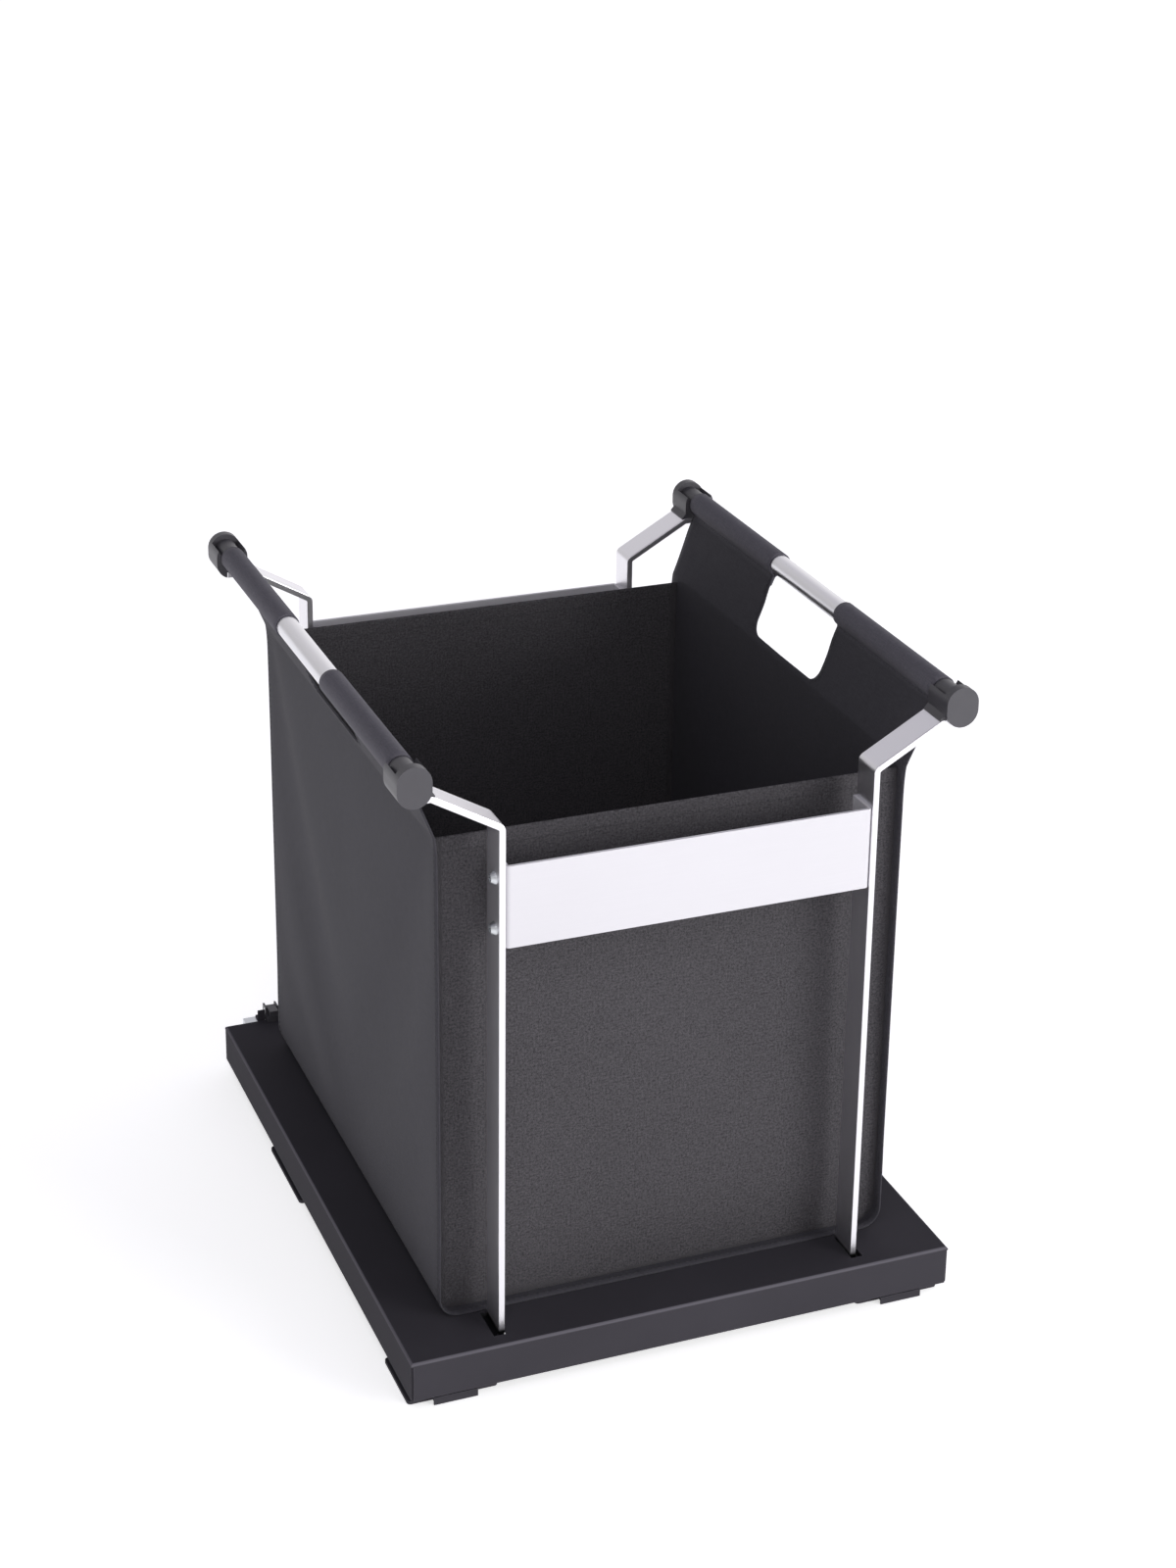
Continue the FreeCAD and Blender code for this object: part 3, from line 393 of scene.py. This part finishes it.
def make_lights():
    """A white studio: bright near the horizon, dim overhead, with two soft lights in front."""
    scene = bpy.context.scene
    world = bpy.data.worlds.new("studio")
    scene.world = world
    world.use_nodes = True
    tree = world.node_tree
    background = tree.nodes["Background"]
    split = tree.nodes.new("ShaderNodeSeparateXYZ")
    tree.links.new(tree.nodes.new("ShaderNodeTexCoord").outputs["Generated"], split.inputs[0])
    height = tree.nodes.new("ShaderNodeMapRange")
    height.interpolation_type = "SMOOTHSTEP"
    height.inputs["From Min"].default_value = 0.5
    height.inputs["From Max"].default_value = 0.86
    tree.links.new(split.outputs["Z"], height.inputs["Value"])
    dome = spread(tree, height.outputs[0], 1.0, 0.15)
    sideways = spread(tree, split.outputs["X"], 0.45, 1.25, -1.0, 1.0)
    tree.links.new(mix_colours(tree, height.outputs[0], (1.0, 0.985, 1.0), (0.92, 0.88, 1.2)),
                   background.inputs["Color"])
    tree.links.new(math_node(tree, "MULTIPLY", dome, sideways), background.inputs["Strength"])
    area_light("front_soft", (2.0, -2.7, 0.9), (0, 0, 0.2), (1.4, 1.2), 44)
    area_light("upper_soft", (-0.9, -1.9, 2.2), (0.15, 0, 0.4), (1.2, 0.9), 10)
    scene.view_settings.view_transform = "Standard"


# ---------------------------------------------------------------- fabric
YARN = 0.55 * MM
# How much paler the painted sheen makes the cloth on the sleeves.
SLEEVE_SHEEN_PALER = 2.2


def woven(name, dark, light, weave, fleck=0.35, painted_sheen_from=None):
    """Coated plain-weave cloth: two crossing rows of threads over the flat cut, with uneven yarns.

    Beyond the given length along the flat cut, over the sleeves, the colour is paler: a painted sheen
    standing in for the light the cloth catches where it wraps the tubes."""
    material, tree, shader = new_material(name)
    flat = place_of(tree, flat=True)
    split = tree.nodes.new("ShaderNodeSeparateXYZ")
    tree.links.new(flat, split.inputs[0])
    pitch = math.pi / YARN
    across = math_node(tree, "SINE", math_node(tree, "MULTIPLY", split.outputs["X"], pitch))
    along = math_node(tree, "SINE", math_node(tree, "MULTIPLY", split.outputs["Y"], pitch))
    weave_height = math_node(tree, "MULTIPLY", across, along)
    yarns = math_node(tree, "ADD",
                      spread(tree, noise(tree, mapped(tree, flat, (1400, 90, 1)), 1.0, 3), -0.5, 0.5),
                      spread(tree, noise(tree, mapped(tree, flat, (90, 1400, 1)), 1.0, 3), -0.5, 0.5))
    flecks = noise(tree, flat, 620, 3, 0.75)
    cloudy = noise(tree, flat, 7, 4)
    tone = math_node(tree, "ADD", math_node(tree, "MULTIPLY", yarns, 0.5),
                     math_node(tree, "ADD", spread(tree, flecks, -fleck, fleck, 0.25, 0.75),
                               spread(tree, cloudy, -0.12, 0.12)))
    tone = math_node(tree, "ADD", tone, math_node(tree, "MULTIPLY", weave_height, 0.12))
    colour = mix_colours(tree, spread(tree, tone, 0, 1, -0.6, 0.6), dark, light)
    # Painted sheen: on the sleeves the cloth gets a paler copy of its colour, for the light it catches round
    # the tubes.
    if painted_sheen_from is not None:
        away = math_node(tree, "ABSOLUTE", split.outputs["Y"])
        sleeve_sheen_mask = spread(tree, away, 0.0, 1.0, painted_sheen_from - 4 * MM, painted_sheen_from + 4 * MM)
        paler = mix_colours(tree, spread(tree, tone, 0, 1, -0.6, 0.6), tuple(SLEEVE_SHEEN_PALER * c for c in dark),
                            tuple(SLEEVE_SHEEN_PALER * c for c in light))
        colour = mix_colours(tree, sleeve_sheen_mask, colour, paler)
    tree.links.new(colour, shader.inputs["Base Color"])
    tree.links.new(spread(tree, flecks, 0.72, 0.92), shader.inputs["Roughness"])
    shader.inputs["Specular IOR Level"].default_value = 0.2
    shader.inputs["Sheen Weight"].default_value = 0.05
    shader.inputs["Sheen Roughness"].default_value = 0.4
    first = bump(tree, weave_height, 0.12 * MM * weave, 0.6)
    second = bump(tree, yarns, 0.1 * MM * weave, 0.5, first)
    tree.links.new(bump(tree, flecks, 0.1 * MM * weave, 0.4, second), shader.inputs["Normal"])
    return material


# ---------------------------------------------------------------- the bag's cut
class Wrap:
    """The bag's wrap: one strip of cloth from the seam of the left sleeve to the seam of the right one.

    It goes round the left tube, down the left side, under the floor, up the right side and round the
    right tube. A row is a line of the strip along Y, with its flat length from the middle of the floor,
    its place (x, z) and a tag: floor, corner, side, flap, sleeve or overlap."""

    def __init__(self):
        self.half = [(0.0, BAG_BOTTOM + HALF_SHEET, "floor")]
        self.draw_half()
        flat = [0.0]
        for (x0, z0, _), (x1, z1, _) in zip(self.half, self.half[1:]):
            flat.append(flat[-1] + math.hypot(x1 - x0, z1 - z0))
        right = [(length, x, z, tag) for length, (x, z, tag) in zip(flat, self.half)]
        self.rows = [(-length, -x, z, tag) for length, x, z, tag in reversed(right[1:])] + right
        self.middle = len(right) - 1
        self.length = 2 * flat[-1]
        self.fold_length = next(row[0] for row in right if row[3] == "flap")
        self.sleeve_length = next(row[0] for row in right if row[3] == "sleeve")
        self.sill = self.row_at(self.fold_length + HAND_SILL)
        self.rim = self.row_at(next(row[0] for row in right if abs(row[2] - RIM) < 1e-7))
        corners = [number for number, row in enumerate(self.rows) if row[3] == "corner" and row[1] > 0]
        self.corner = corners[len(corners) // 2 - 1]

    def row_at(self, length):
        return min(range(len(self.rows)), key=lambda number: abs(self.rows[number][0] - length))

    def other(self, row):
        """The same row on the left side."""
        return 2 * self.middle - row

    def line(self, x, z, tag, step):
        x0, z0, _ = self.half[-1]
        count = max(1, round(math.hypot(x - x0, z - z0) / step))
        for number in range(1, count + 1):
            share = number / count
            self.half.append((x0 + (x - x0) * share, z0 + (z - z0) * share, tag))

    def arc(self, centre, radius, start, end, tag, count):
        for number in range(1, count + 1):
            turn = math.radians(start + (end - start) * number / count)
            self.half.append((centre.x + radius * math.cos(turn), centre.y + radius * math.sin(turn), tag))

    def draw_half(self):
        wall = BAG_HALF - HALF_SHEET
        self.line(BAG_HALF - CORNER, BAG_BOTTOM + HALF_SHEET, "floor", WALL_STEP)
        self.arc(Vector((BAG_HALF - CORNER, BAG_BOTTOM + CORNER)), CORNER - HALF_SHEET, -90, 0, "corner", 6)
        self.line(wall, RIM, "side", WALL_STEP)
        self.line(wall, FOLD - MM, "side", RIM_STEP)

        fold = Vector((wall + 0.2 * MM, FOLD))
        tube = Vector((TUBE.x, TUBE.z))
        up = (tube - fold).normalized()
        out = Vector((up.y, -up.x))
        lean = math.degrees(math.atan2(out.y, out.x))
        reach = SLEEVE_MIDDLE + NECK
        aside = HALF_SHEET + NECK
        drop = math.sqrt(reach ** 2 - aside ** 2)
        touch = math.degrees(math.asin(aside / reach))

        self.half.append((fold.x, fold.y, "flap"))
        top = tube - out * HALF_SHEET - up * drop
        turns = [math.radians(turn) for turn in range(0, 91, 15)]
        stops = [HAND_SILL + HAND_CORNER * (1 - math.cos(turn)) for turn in turns]
        whole = (top - fold).length
        for stop in stops + [whole * share for share in (0.45, 0.6, 0.8, 1.0)]:
            place = fold.lerp(top, stop / whole)
            self.half.append((place.x, place.y, "flap"))
        self.arc(tube - out * aside - up * drop, NECK, lean, lean + 90 - touch, "sleeve", 3)
        self.arc(tube, SLEEVE_MIDDLE, lean + 270 - touch, lean - 90 + touch, "sleeve", 30)
        self.arc(tube + out * aside - up * drop, NECK, lean + 90 + touch, lean + 180, "sleeve", 3)
        seam = tube + out * (HALF_SHEET + OVERLAP_GAP) - up * (drop + OVERLAP)
        self.line(seam.x, seam.y, "overlap", OVERLAP_STEP)


def hand_half(rise):
    """Half the width of the hand hole, at a length above the flap's fold."""
    over = rise - HAND_SILL
    if over >= HAND_CORNER:
        return HAND_HALF
    return HAND_HALF - HAND_CORNER + math.sqrt(max(0.0, HAND_CORNER ** 2 - (HAND_CORNER - over) ** 2))


def smooth_step(share):
    share = min(1.0, max(0.0, share))
    return share * share * (3 - 2 * share)


class BagMesh:
    """Points and faces of the whole bag, sewn together: the wrap and the two end panels."""

    def __init__(self, wrap):
        self.wrap = wrap
        self.points, self.flat, self.pins = [], [], []
        self.faces = {"wrap": [], "front": [], "rear": []}
        self.lines = [self.wrap_row(number) for number in range(len(wrap.rows))]
        for number in range(len(self.lines) - 1):
            self.join_rows(self.lines[number], self.lines[number + 1])
        self.grids = {name: self.panel(name, end) for name, end in ENDS.items()}

    def add(self, place, flat, pin=0.0):
        self.points.append(place)
        self.flat.append(flat)
        self.pins.append(pin)
        return len(self.points) - 1

    def wrap_row(self, number):
        """One row as blocks of point numbers: before, over and behind the hand hole."""
        length, x, z, tag = self.wrap.rows[number]
        rise = abs(length) - self.wrap.fold_length
        edge, panel = WRAP_EDGE - EDGE_INSET, PANEL_AT - HALF_SHEET
        doubled = self.wrap.sleeve_length - self.wrap.fold_length - OVERLAP
        held = smooth_step((rise - doubled + 12 * MM) / (10 * MM))
        if tag in ("sleeve", "overlap", "floor"):
            held = 1.0
        if rise > 0:
            edge += (SLEEVE_END - edge) * smooth_step(rise / FLAP_SPREAD)
        if tag == "overlap":
            edge -= OVERLAP_INSET
        hole = hand_half(rise) if rise >= HAND_SILL - 1e-6 else HAND_HALF - HAND_CORNER
        outer = [edge, panel]
        outer += [panel + (hole - panel) * k / SIDE_COLUMNS for k in range(1, SIDE_COLUMNS + 1)]

        def make(along):
            return self.add((x, middle + along, z), (along, length), held)
        before = [make(-along) for along in outer]
        behind = [make(along) for along in reversed(outer)]
        if rise > HAND_SILL + 1e-6:
            return before, None, behind
        over = [make(-hole + 2 * hole * k / HAND_COLUMNS) for k in range(1, HAND_COLUMNS)]
        return before, [before[-1]] + over + [behind[0]], behind

    def join_rows(self, low, high):
        for block in range(3):
            if low[block] is None or high[block] is None:
                continue
            for k in range(len(low[block]) - 1):
                self.faces["wrap"].append((low[block][k], low[block][k + 1],
                                           high[block][k + 1], high[block][k]))

    def seam(self, name, row):
        """The wrap's point where an end panel is sewn to it."""
        before, _, behind = self.lines[row]
        return before[1] if name == "front" else behind[-2]

    def panel(self, name, end):
        """An end panel, filled in between the seam and its straight rim."""
        wrap = self.wrap
        left, right = wrap.other(wrap.corner), wrap.corner
        count_x, count_z = right - left, wrap.rim - right
        grid = [[None] * (count_z + 1) for _ in range(count_x + 1)]
        for j in range(count_z + 1):
            grid[0][j] = self.seam(name, left - j)
            grid[count_x][j] = self.seam(name, right + j)
        for i in range(1, count_x):
            grid[i][0] = self.seam(name, left + i)
        along = middle + end * (PANEL_AT - HALF_SHEET)
        wall = self.points[grid[count_x][count_z]][0]
        foot = self.points[grid[count_x][0]]
        for i in range(1, count_x):
            bottom_x, _, bottom_z = self.points[grid[i][0]]
            for j in range(1, count_z + 1):
                share, rise = i / count_x, j / count_z
                side_x, _, side_z = self.points[grid[count_x][j]]
                across = bottom_x * (1 - rise) + bottom_x / foot[0] * wall * rise
                across += (2 * share - 1) * (side_x - foot[0] - (wall - foot[0]) * rise)
                height = bottom_z + side_z - foot[2] - (bottom_z - foot[2]) * rise
                grid[i][j] = self.add((across, along, height), (across, height))
        for i in range(count_x):
            for j in range(count_z):
                face = (grid[i][j], grid[i + 1][j], grid[i + 1][j + 1], grid[i][j + 1])
                self.faces[name].append(face if end < 0 else tuple(reversed(face)))
        return grid


# ---------------------------------------------------------------- letting the cloth settle
SETTLE_FRAMES = 24
SLACK = 0.006                # how much longer the cloth is than the shape it was drawn on
WALL_GIVE = 3.5 * MM         # the furthest a wall's point may move
LIP_GIVE = 0.7 * MM          # the same for the side lips, along Y


def simulated(bag):
    """Where the sewn bag's points come to rest under gravity, with a little slack in the cloth."""
    faces = [face for group in bag.faces.values() for face in group]
    mesh = bpy.data.meshes.new("settling")
    mesh.from_pydata([tuple(point) for point in bag.points], [], faces)
    item = bpy.data.objects.new("settling", mesh)
    scene = bpy.context.scene
    scene.collection.objects.link(item)
    group = item.vertex_groups.new(name="held")
    for number, held in enumerate(bag.pins):
        group.add([number], held, "REPLACE")
    cloth = item.modifiers.new("Cloth", "CLOTH")
    settings = cloth.settings
    settings.quality = 6
    settings.mass = 0.02
    settings.tension_stiffness = settings.compression_stiffness = 30
    settings.shear_stiffness = 12
    settings.bending_stiffness = 4
    settings.tension_damping = settings.compression_damping = 12
    settings.air_damping = 2
    settings.vertex_group_mass = "held"
    settings.shrink_min = settings.shrink_max = -SLACK
    cloth.collision_settings.use_collision = False
    cloth.collision_settings.use_self_collision = False
    cloth.point_cache.frame_start = 1
    cloth.point_cache.frame_end = SETTLE_FRAMES
    scene.frame_start, scene.frame_end = 1, SETTLE_FRAMES
    for frame_number in range(1, SETTLE_FRAMES + 1):
        scene.frame_set(frame_number)
    settled = item.evaluated_get(bpy.context.evaluated_depsgraph_get()).to_mesh()
    points = [vertex.co.copy() for vertex in settled.vertices]
    scene.frame_set(1)
    bpy.data.objects.remove(item)
    return points


def settle(bag):
    """Move the bag's points to where the cloth rests, no further than the frame around it allows."""
    starts = [Vector(point) for point in bag.points]
    ends = simulated(bag)
    for number, (start, end) in enumerate(zip(starts, ends)):
        move = end - start
        give = WALL_GIVE * smooth_step((start.z - BAG_BOTTOM - CORNER) / (60 * MM))
        if move.length > 0:
            move *= give / (give + move.length)
        if abs(start.y - middle) > PANEL_AT and abs(move.y) > 0:
            move.y *= LIP_GIVE / (LIP_GIVE + abs(move.y))
        bag.points[number] = tuple(start + move * (1 - bag.pins[number]))


# ---------------------------------------------------------------- sewing the bag together
def new_mesh(name, points, faces, flat=None, material=None):
    mesh = bpy.data.meshes.new(name)
    mesh.from_pydata([tuple(point) for point in points], [], faces)
    if flat is not None:
        layer = mesh.uv_layers.new(name="flat_cut")
        for loop in mesh.loops:
            layer.data[loop.index].uv = flat[loop.vertex_index]
    mesh.materials.append(material)
    mesh.shade_smooth()
    item = bpy.data.objects.new(name, mesh)
    bpy.context.scene.collection.objects.link(item)
    return item


def part_of(bag, name):
    """The points, faces and flat places of one cut piece."""
    used = sorted({point for face in bag.faces[name] for point in face})
    place = {point: number for number, point in enumerate(used)}
    faces = [tuple(place[point] for point in face) for face in bag.faces[name]]
    return [bag.points[point] for point in used], faces, [bag.flat[point] for point in used]


def add_hem(bag, name, end):
    """Turn the end panel's top edge over towards the rear and down, as a hem."""
    turned = [(0.45 * MM, 0.5 * MM), (HEM_TURN, 0.0)]
    turned += [(HEM_TURN, -HEM * share) for share in (0.25, 0.5, 0.75, 1.0)]
    rows = [[column[-1] for column in bag.grids[name]]]
    for back, up in turned:
        row = []
        for point in rows[0]:
            x, y, z = bag.points[point]
            across, height = bag.flat[point][0], RIM + abs(up) + back
            row.append(bag.add((x * 0.997, y + back, z + up), (across, height)))
        rows.append(row)
    for low, high in zip(rows, rows[1:]):
        for k in range(len(low) - 1):
            face = (low[k], low[k + 1], high[k + 1], high[k])
            bag.faces[name].append(face if end < 0 else tuple(reversed(face)))


def thicken(item):
    subdivision = item.modifiers.new("Subdivision", "SUBSURF")
    subdivision.levels = subdivision.render_levels = 1
    shell = item.modifiers.new("Thickness", "SOLIDIFY")
    shell.thickness = SHEET
    shell.offset = 0
    shell.use_even_offset = True
    return item


def thread(name, colour):
    """Twisted polyester thread."""
    material, tree, shader = new_material(name)
    place = place_of(tree)
    twist = noise(tree, mapped(tree, place, (1600, 1600, 1600)), 1.0, 2)
    tree.links.new(mix_colours(tree, twist, tuple(0.6 * c for c in colour), tuple(1.5 * c for c in colour)),
                   shader.inputs["Base Color"])
    tree.links.new(spread(tree, twist, 0.45, 0.7), shader.inputs["Roughness"])
    tree.links.new(bump(tree, twist, 0.05 * MM, 0.6), shader.inputs["Normal"])
    shader.inputs["Specular IOR Level"].default_value = 0.4
    return material


class Stitching:
    """Rows of sewn stitches as one mesh of small rounded threads."""

    SINK = (0.9, 0.25, 0.0, 0.25, 0.9)        # along one stitch: how deep its thread lies, and how thick
    SIZE = (0.35, 0.85, 1.0, 0.85, 0.35)
    ALONG = (0.0, 0.15, 0.5, 0.85, 1.0)

    def __init__(self):
        self.points, self.faces = [], []

    def row(self, path, normals, lift):
        """Stitches along a line of the cloth's middle surface, lifted to one face of it."""
        lengths = [0.0]
        for a, b in zip(path, path[1:]):
            lengths.append(lengths[-1] + (b - a).length)
        count = int(lengths[-1] / STITCH_PITCH)
        inset = (lengths[-1] - count * STITCH_PITCH) / 2

        def at(length):
            k = next((k for k in range(1, len(lengths)) if lengths[k] >= length), len(lengths) - 1)
            span = lengths[k] - lengths[k - 1]
            share = min(1.0, max(0.0, (length - lengths[k - 1]) / span if span else 0.0))
            return path[k - 1].lerp(path[k], share), normals[k - 1].lerp(normals[k], share).normalized()
        for number in range(count):
            first = inset + number * STITCH_PITCH + STITCH_GAP / 2
            self.stitch([at(first + STITCH_LONG * share) for share in self.ALONG], lift)

    def stitch(self, line, lift):
        base = len(self.points)
        along = (line[-1][0] - line[0][0]).normalized()
        for (place, normal), sunk, size in zip(line, self.SINK, self.SIZE):
            aside = along.cross(normal).normalized()
            centre = place + normal * math.copysign(HALF_SHEET + THREAD * (0.35 - sunk * 0.8), lift)
            for k in range(THREAD_SIDES):
                turn = math.tau * k / THREAD_SIDES
                spoke = aside * math.cos(turn) + normal * math.sin(turn)
                self.points.append(centre + spoke * THREAD * size)
        last = len(line) - 1
        for ring in range(last):
            start = base + ring * THREAD_SIDES
            for k in range(THREAD_SIDES):
                a, b = start + k, start + (k + 1) % THREAD_SIDES
                self.faces.append((a, b, b + THREAD_SIDES, a + THREAD_SIDES))
        self.faces.append(tuple(base + k for k in reversed(range(THREAD_SIDES))))
        self.faces.append(tuple(base + last * THREAD_SIDES + k for k in range(THREAD_SIDES)))


def between(bag, first, second, share):
    return Vector(bag.points[first]).lerp(Vector(bag.points[second]), share)


def normals_of(path, partner):
    """Normals of the cloth along a path, from the path and a second line of the cloth beside it."""
    result = []
    for k, place in enumerate(path):
        ahead = path[min(k + 1, len(path) - 1)] - path[max(k - 1, 0)]
        result.append(ahead.cross(partner[k] - place).normalized())
    return result


def sew(bag):
    """The rows of stitches that hold the bag together."""
    wrap, stitches = bag.wrap, Stitching()

    def sew_row(path, beside):
        normals = normals_of(path, beside)
        for lift in (-1, 1):
            stitches.row(path, normals, lift)

    def along_cells(rows, side, near, far, share):
        sew_row([between(bag, bag.lines[row][side][near], bag.lines[row][side][far], share) for row in rows],
                [Vector(bag.points[bag.lines[row][side][far]]) for row in rows])

    for side, near, far in ((0, 0, 1), (2, -1, -2)):
        along_cells(range(wrap.other(wrap.rim), wrap.rim + 1), side, near, far, LIP_ROW)
    for row, step in ((wrap.row_at(wrap.sleeve_length - SLEEVE_ROW), 1),
                      (wrap.row_at(-wrap.sleeve_length + SLEEVE_ROW), -1)):
        for side in (0, 2):
            sew_row([Vector(bag.points[point]) for point in bag.lines[row][side]],
                    [Vector(bag.points[point]) for point in bag.lines[row + step][side]])
    for row_of in (lambda row: row, wrap.other):
        hole = [row_of(row) for row in range(wrap.sill, wrap.row_at(wrap.sleeve_length - SLEEVE_ROW) + 1)]
        for side, edge, inner in ((0, -1, -2), (2, 0, 1)):
            along_cells(hole, side, edge, inner, HOLE_ROW)
    for name in ENDS:
        grid = bag.grids[name]
        level = len(grid[0]) - 1
        sew_row([between(bag, column[level - 1], column[level - 2], HEM_ROW) for column in grid],
                [Vector(bag.points[column[level - 3]]) for column in grid])
    item = new_mesh("bag_stitching", stitches.points, stitches.faces, material=THREAD_FINISH)
    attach(item, "bag")


THREAD_FINISH = thread("thread", (0.03, 0.029, 0.033))
PANEL_CLOTH = woven("panel_cloth", (0.01, 0.0096, 0.011), (0.106, 0.1, 0.109), 1.0, 0.55)


def make_bag():
    wrap = Wrap()
    bag = BagMesh(wrap)
    settle(bag)
    # The wrap's cloth is painted paler from the sleeves on, as painted sheen.
    wrap_cloth = woven("wrap_cloth", (0.02, 0.0192, 0.0232), (0.076, 0.073, 0.086), 0.5, 0.18,
                       wrap.sleeve_length)
    sew(bag)
    for name, end in ENDS.items():
        add_hem(bag, name, end)
    cloth = {"wrap": wrap_cloth, "front": PANEL_CLOTH, "rear": PANEL_CLOTH}
    stands_for = {"wrap": ["bag_side_left", "bag_side_right", "bag_floor", "bag_flap_left", "bag_flap_right"],
                  "front": ["bag_front_panel"], "rear": ["bag_rear_panel"]}
    names = {"wrap": "bag_wrap", "front": "bag_front_cloth", "rear": "bag_rear_cloth"}
    for name in bag.faces:
        points, faces, flat = part_of(bag, name)
        item = thicken(new_mesh(names[name], points, faces, flat, cloth[name]))
        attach(item, "bag")
        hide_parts(*stands_for[name])


def make_slot_shade_blocks():
    """Soft black pads under the sheet that close the ends of the tray's slots beside the feet: dark blocks
    standing in for the shade seen down through the slots.
    """
    points, faces = [], []
    for side_name, side in SIDES.items():
        for end_name in ENDS:
            low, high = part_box(f"upright_{end_name}_{side_name}")
            inner = low.x if side > 0 else high.x
            across = sorted((inner - side * SHADE_BLOCK_LAP, inner + side * (BAR_THICK + SLOT_GAP + SHADE_BLOCK_LAP)))
            levels = (low.z + SHADE_BLOCK_DROP, low.z + BAR_THICK - 0.1 * MM)
            for edge, away in ((low.y, -1), (high.y, 1)):
                along = sorted((edge + away * 0.15 * MM, edge + away * (SLOT_END + SHADE_BLOCK_LAP)))
                base = len(points)
                points += [(x, y, z) for x in across for y in along for z in levels]
                faces += [tuple(base + k for k in face) for face in BLOCK_FACES]
    # Dark blocks put where there is only shade under the tray.
    item = new_mesh("slot_shade_blocks", points, faces, material=FINISHES["buffer_rubber"])
    rounded = item.modifiers.new("Bevel", "BEVEL")
    rounded.width = 0.6 * MM
    rounded.segments = 3
    rounded.harden_normals = True
    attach(item, "tray_frame")


finish_hard_pieces()
soften_edges()
make_bag()
make_slot_shade_blocks()
make_camera()
make_floor()
make_lights()
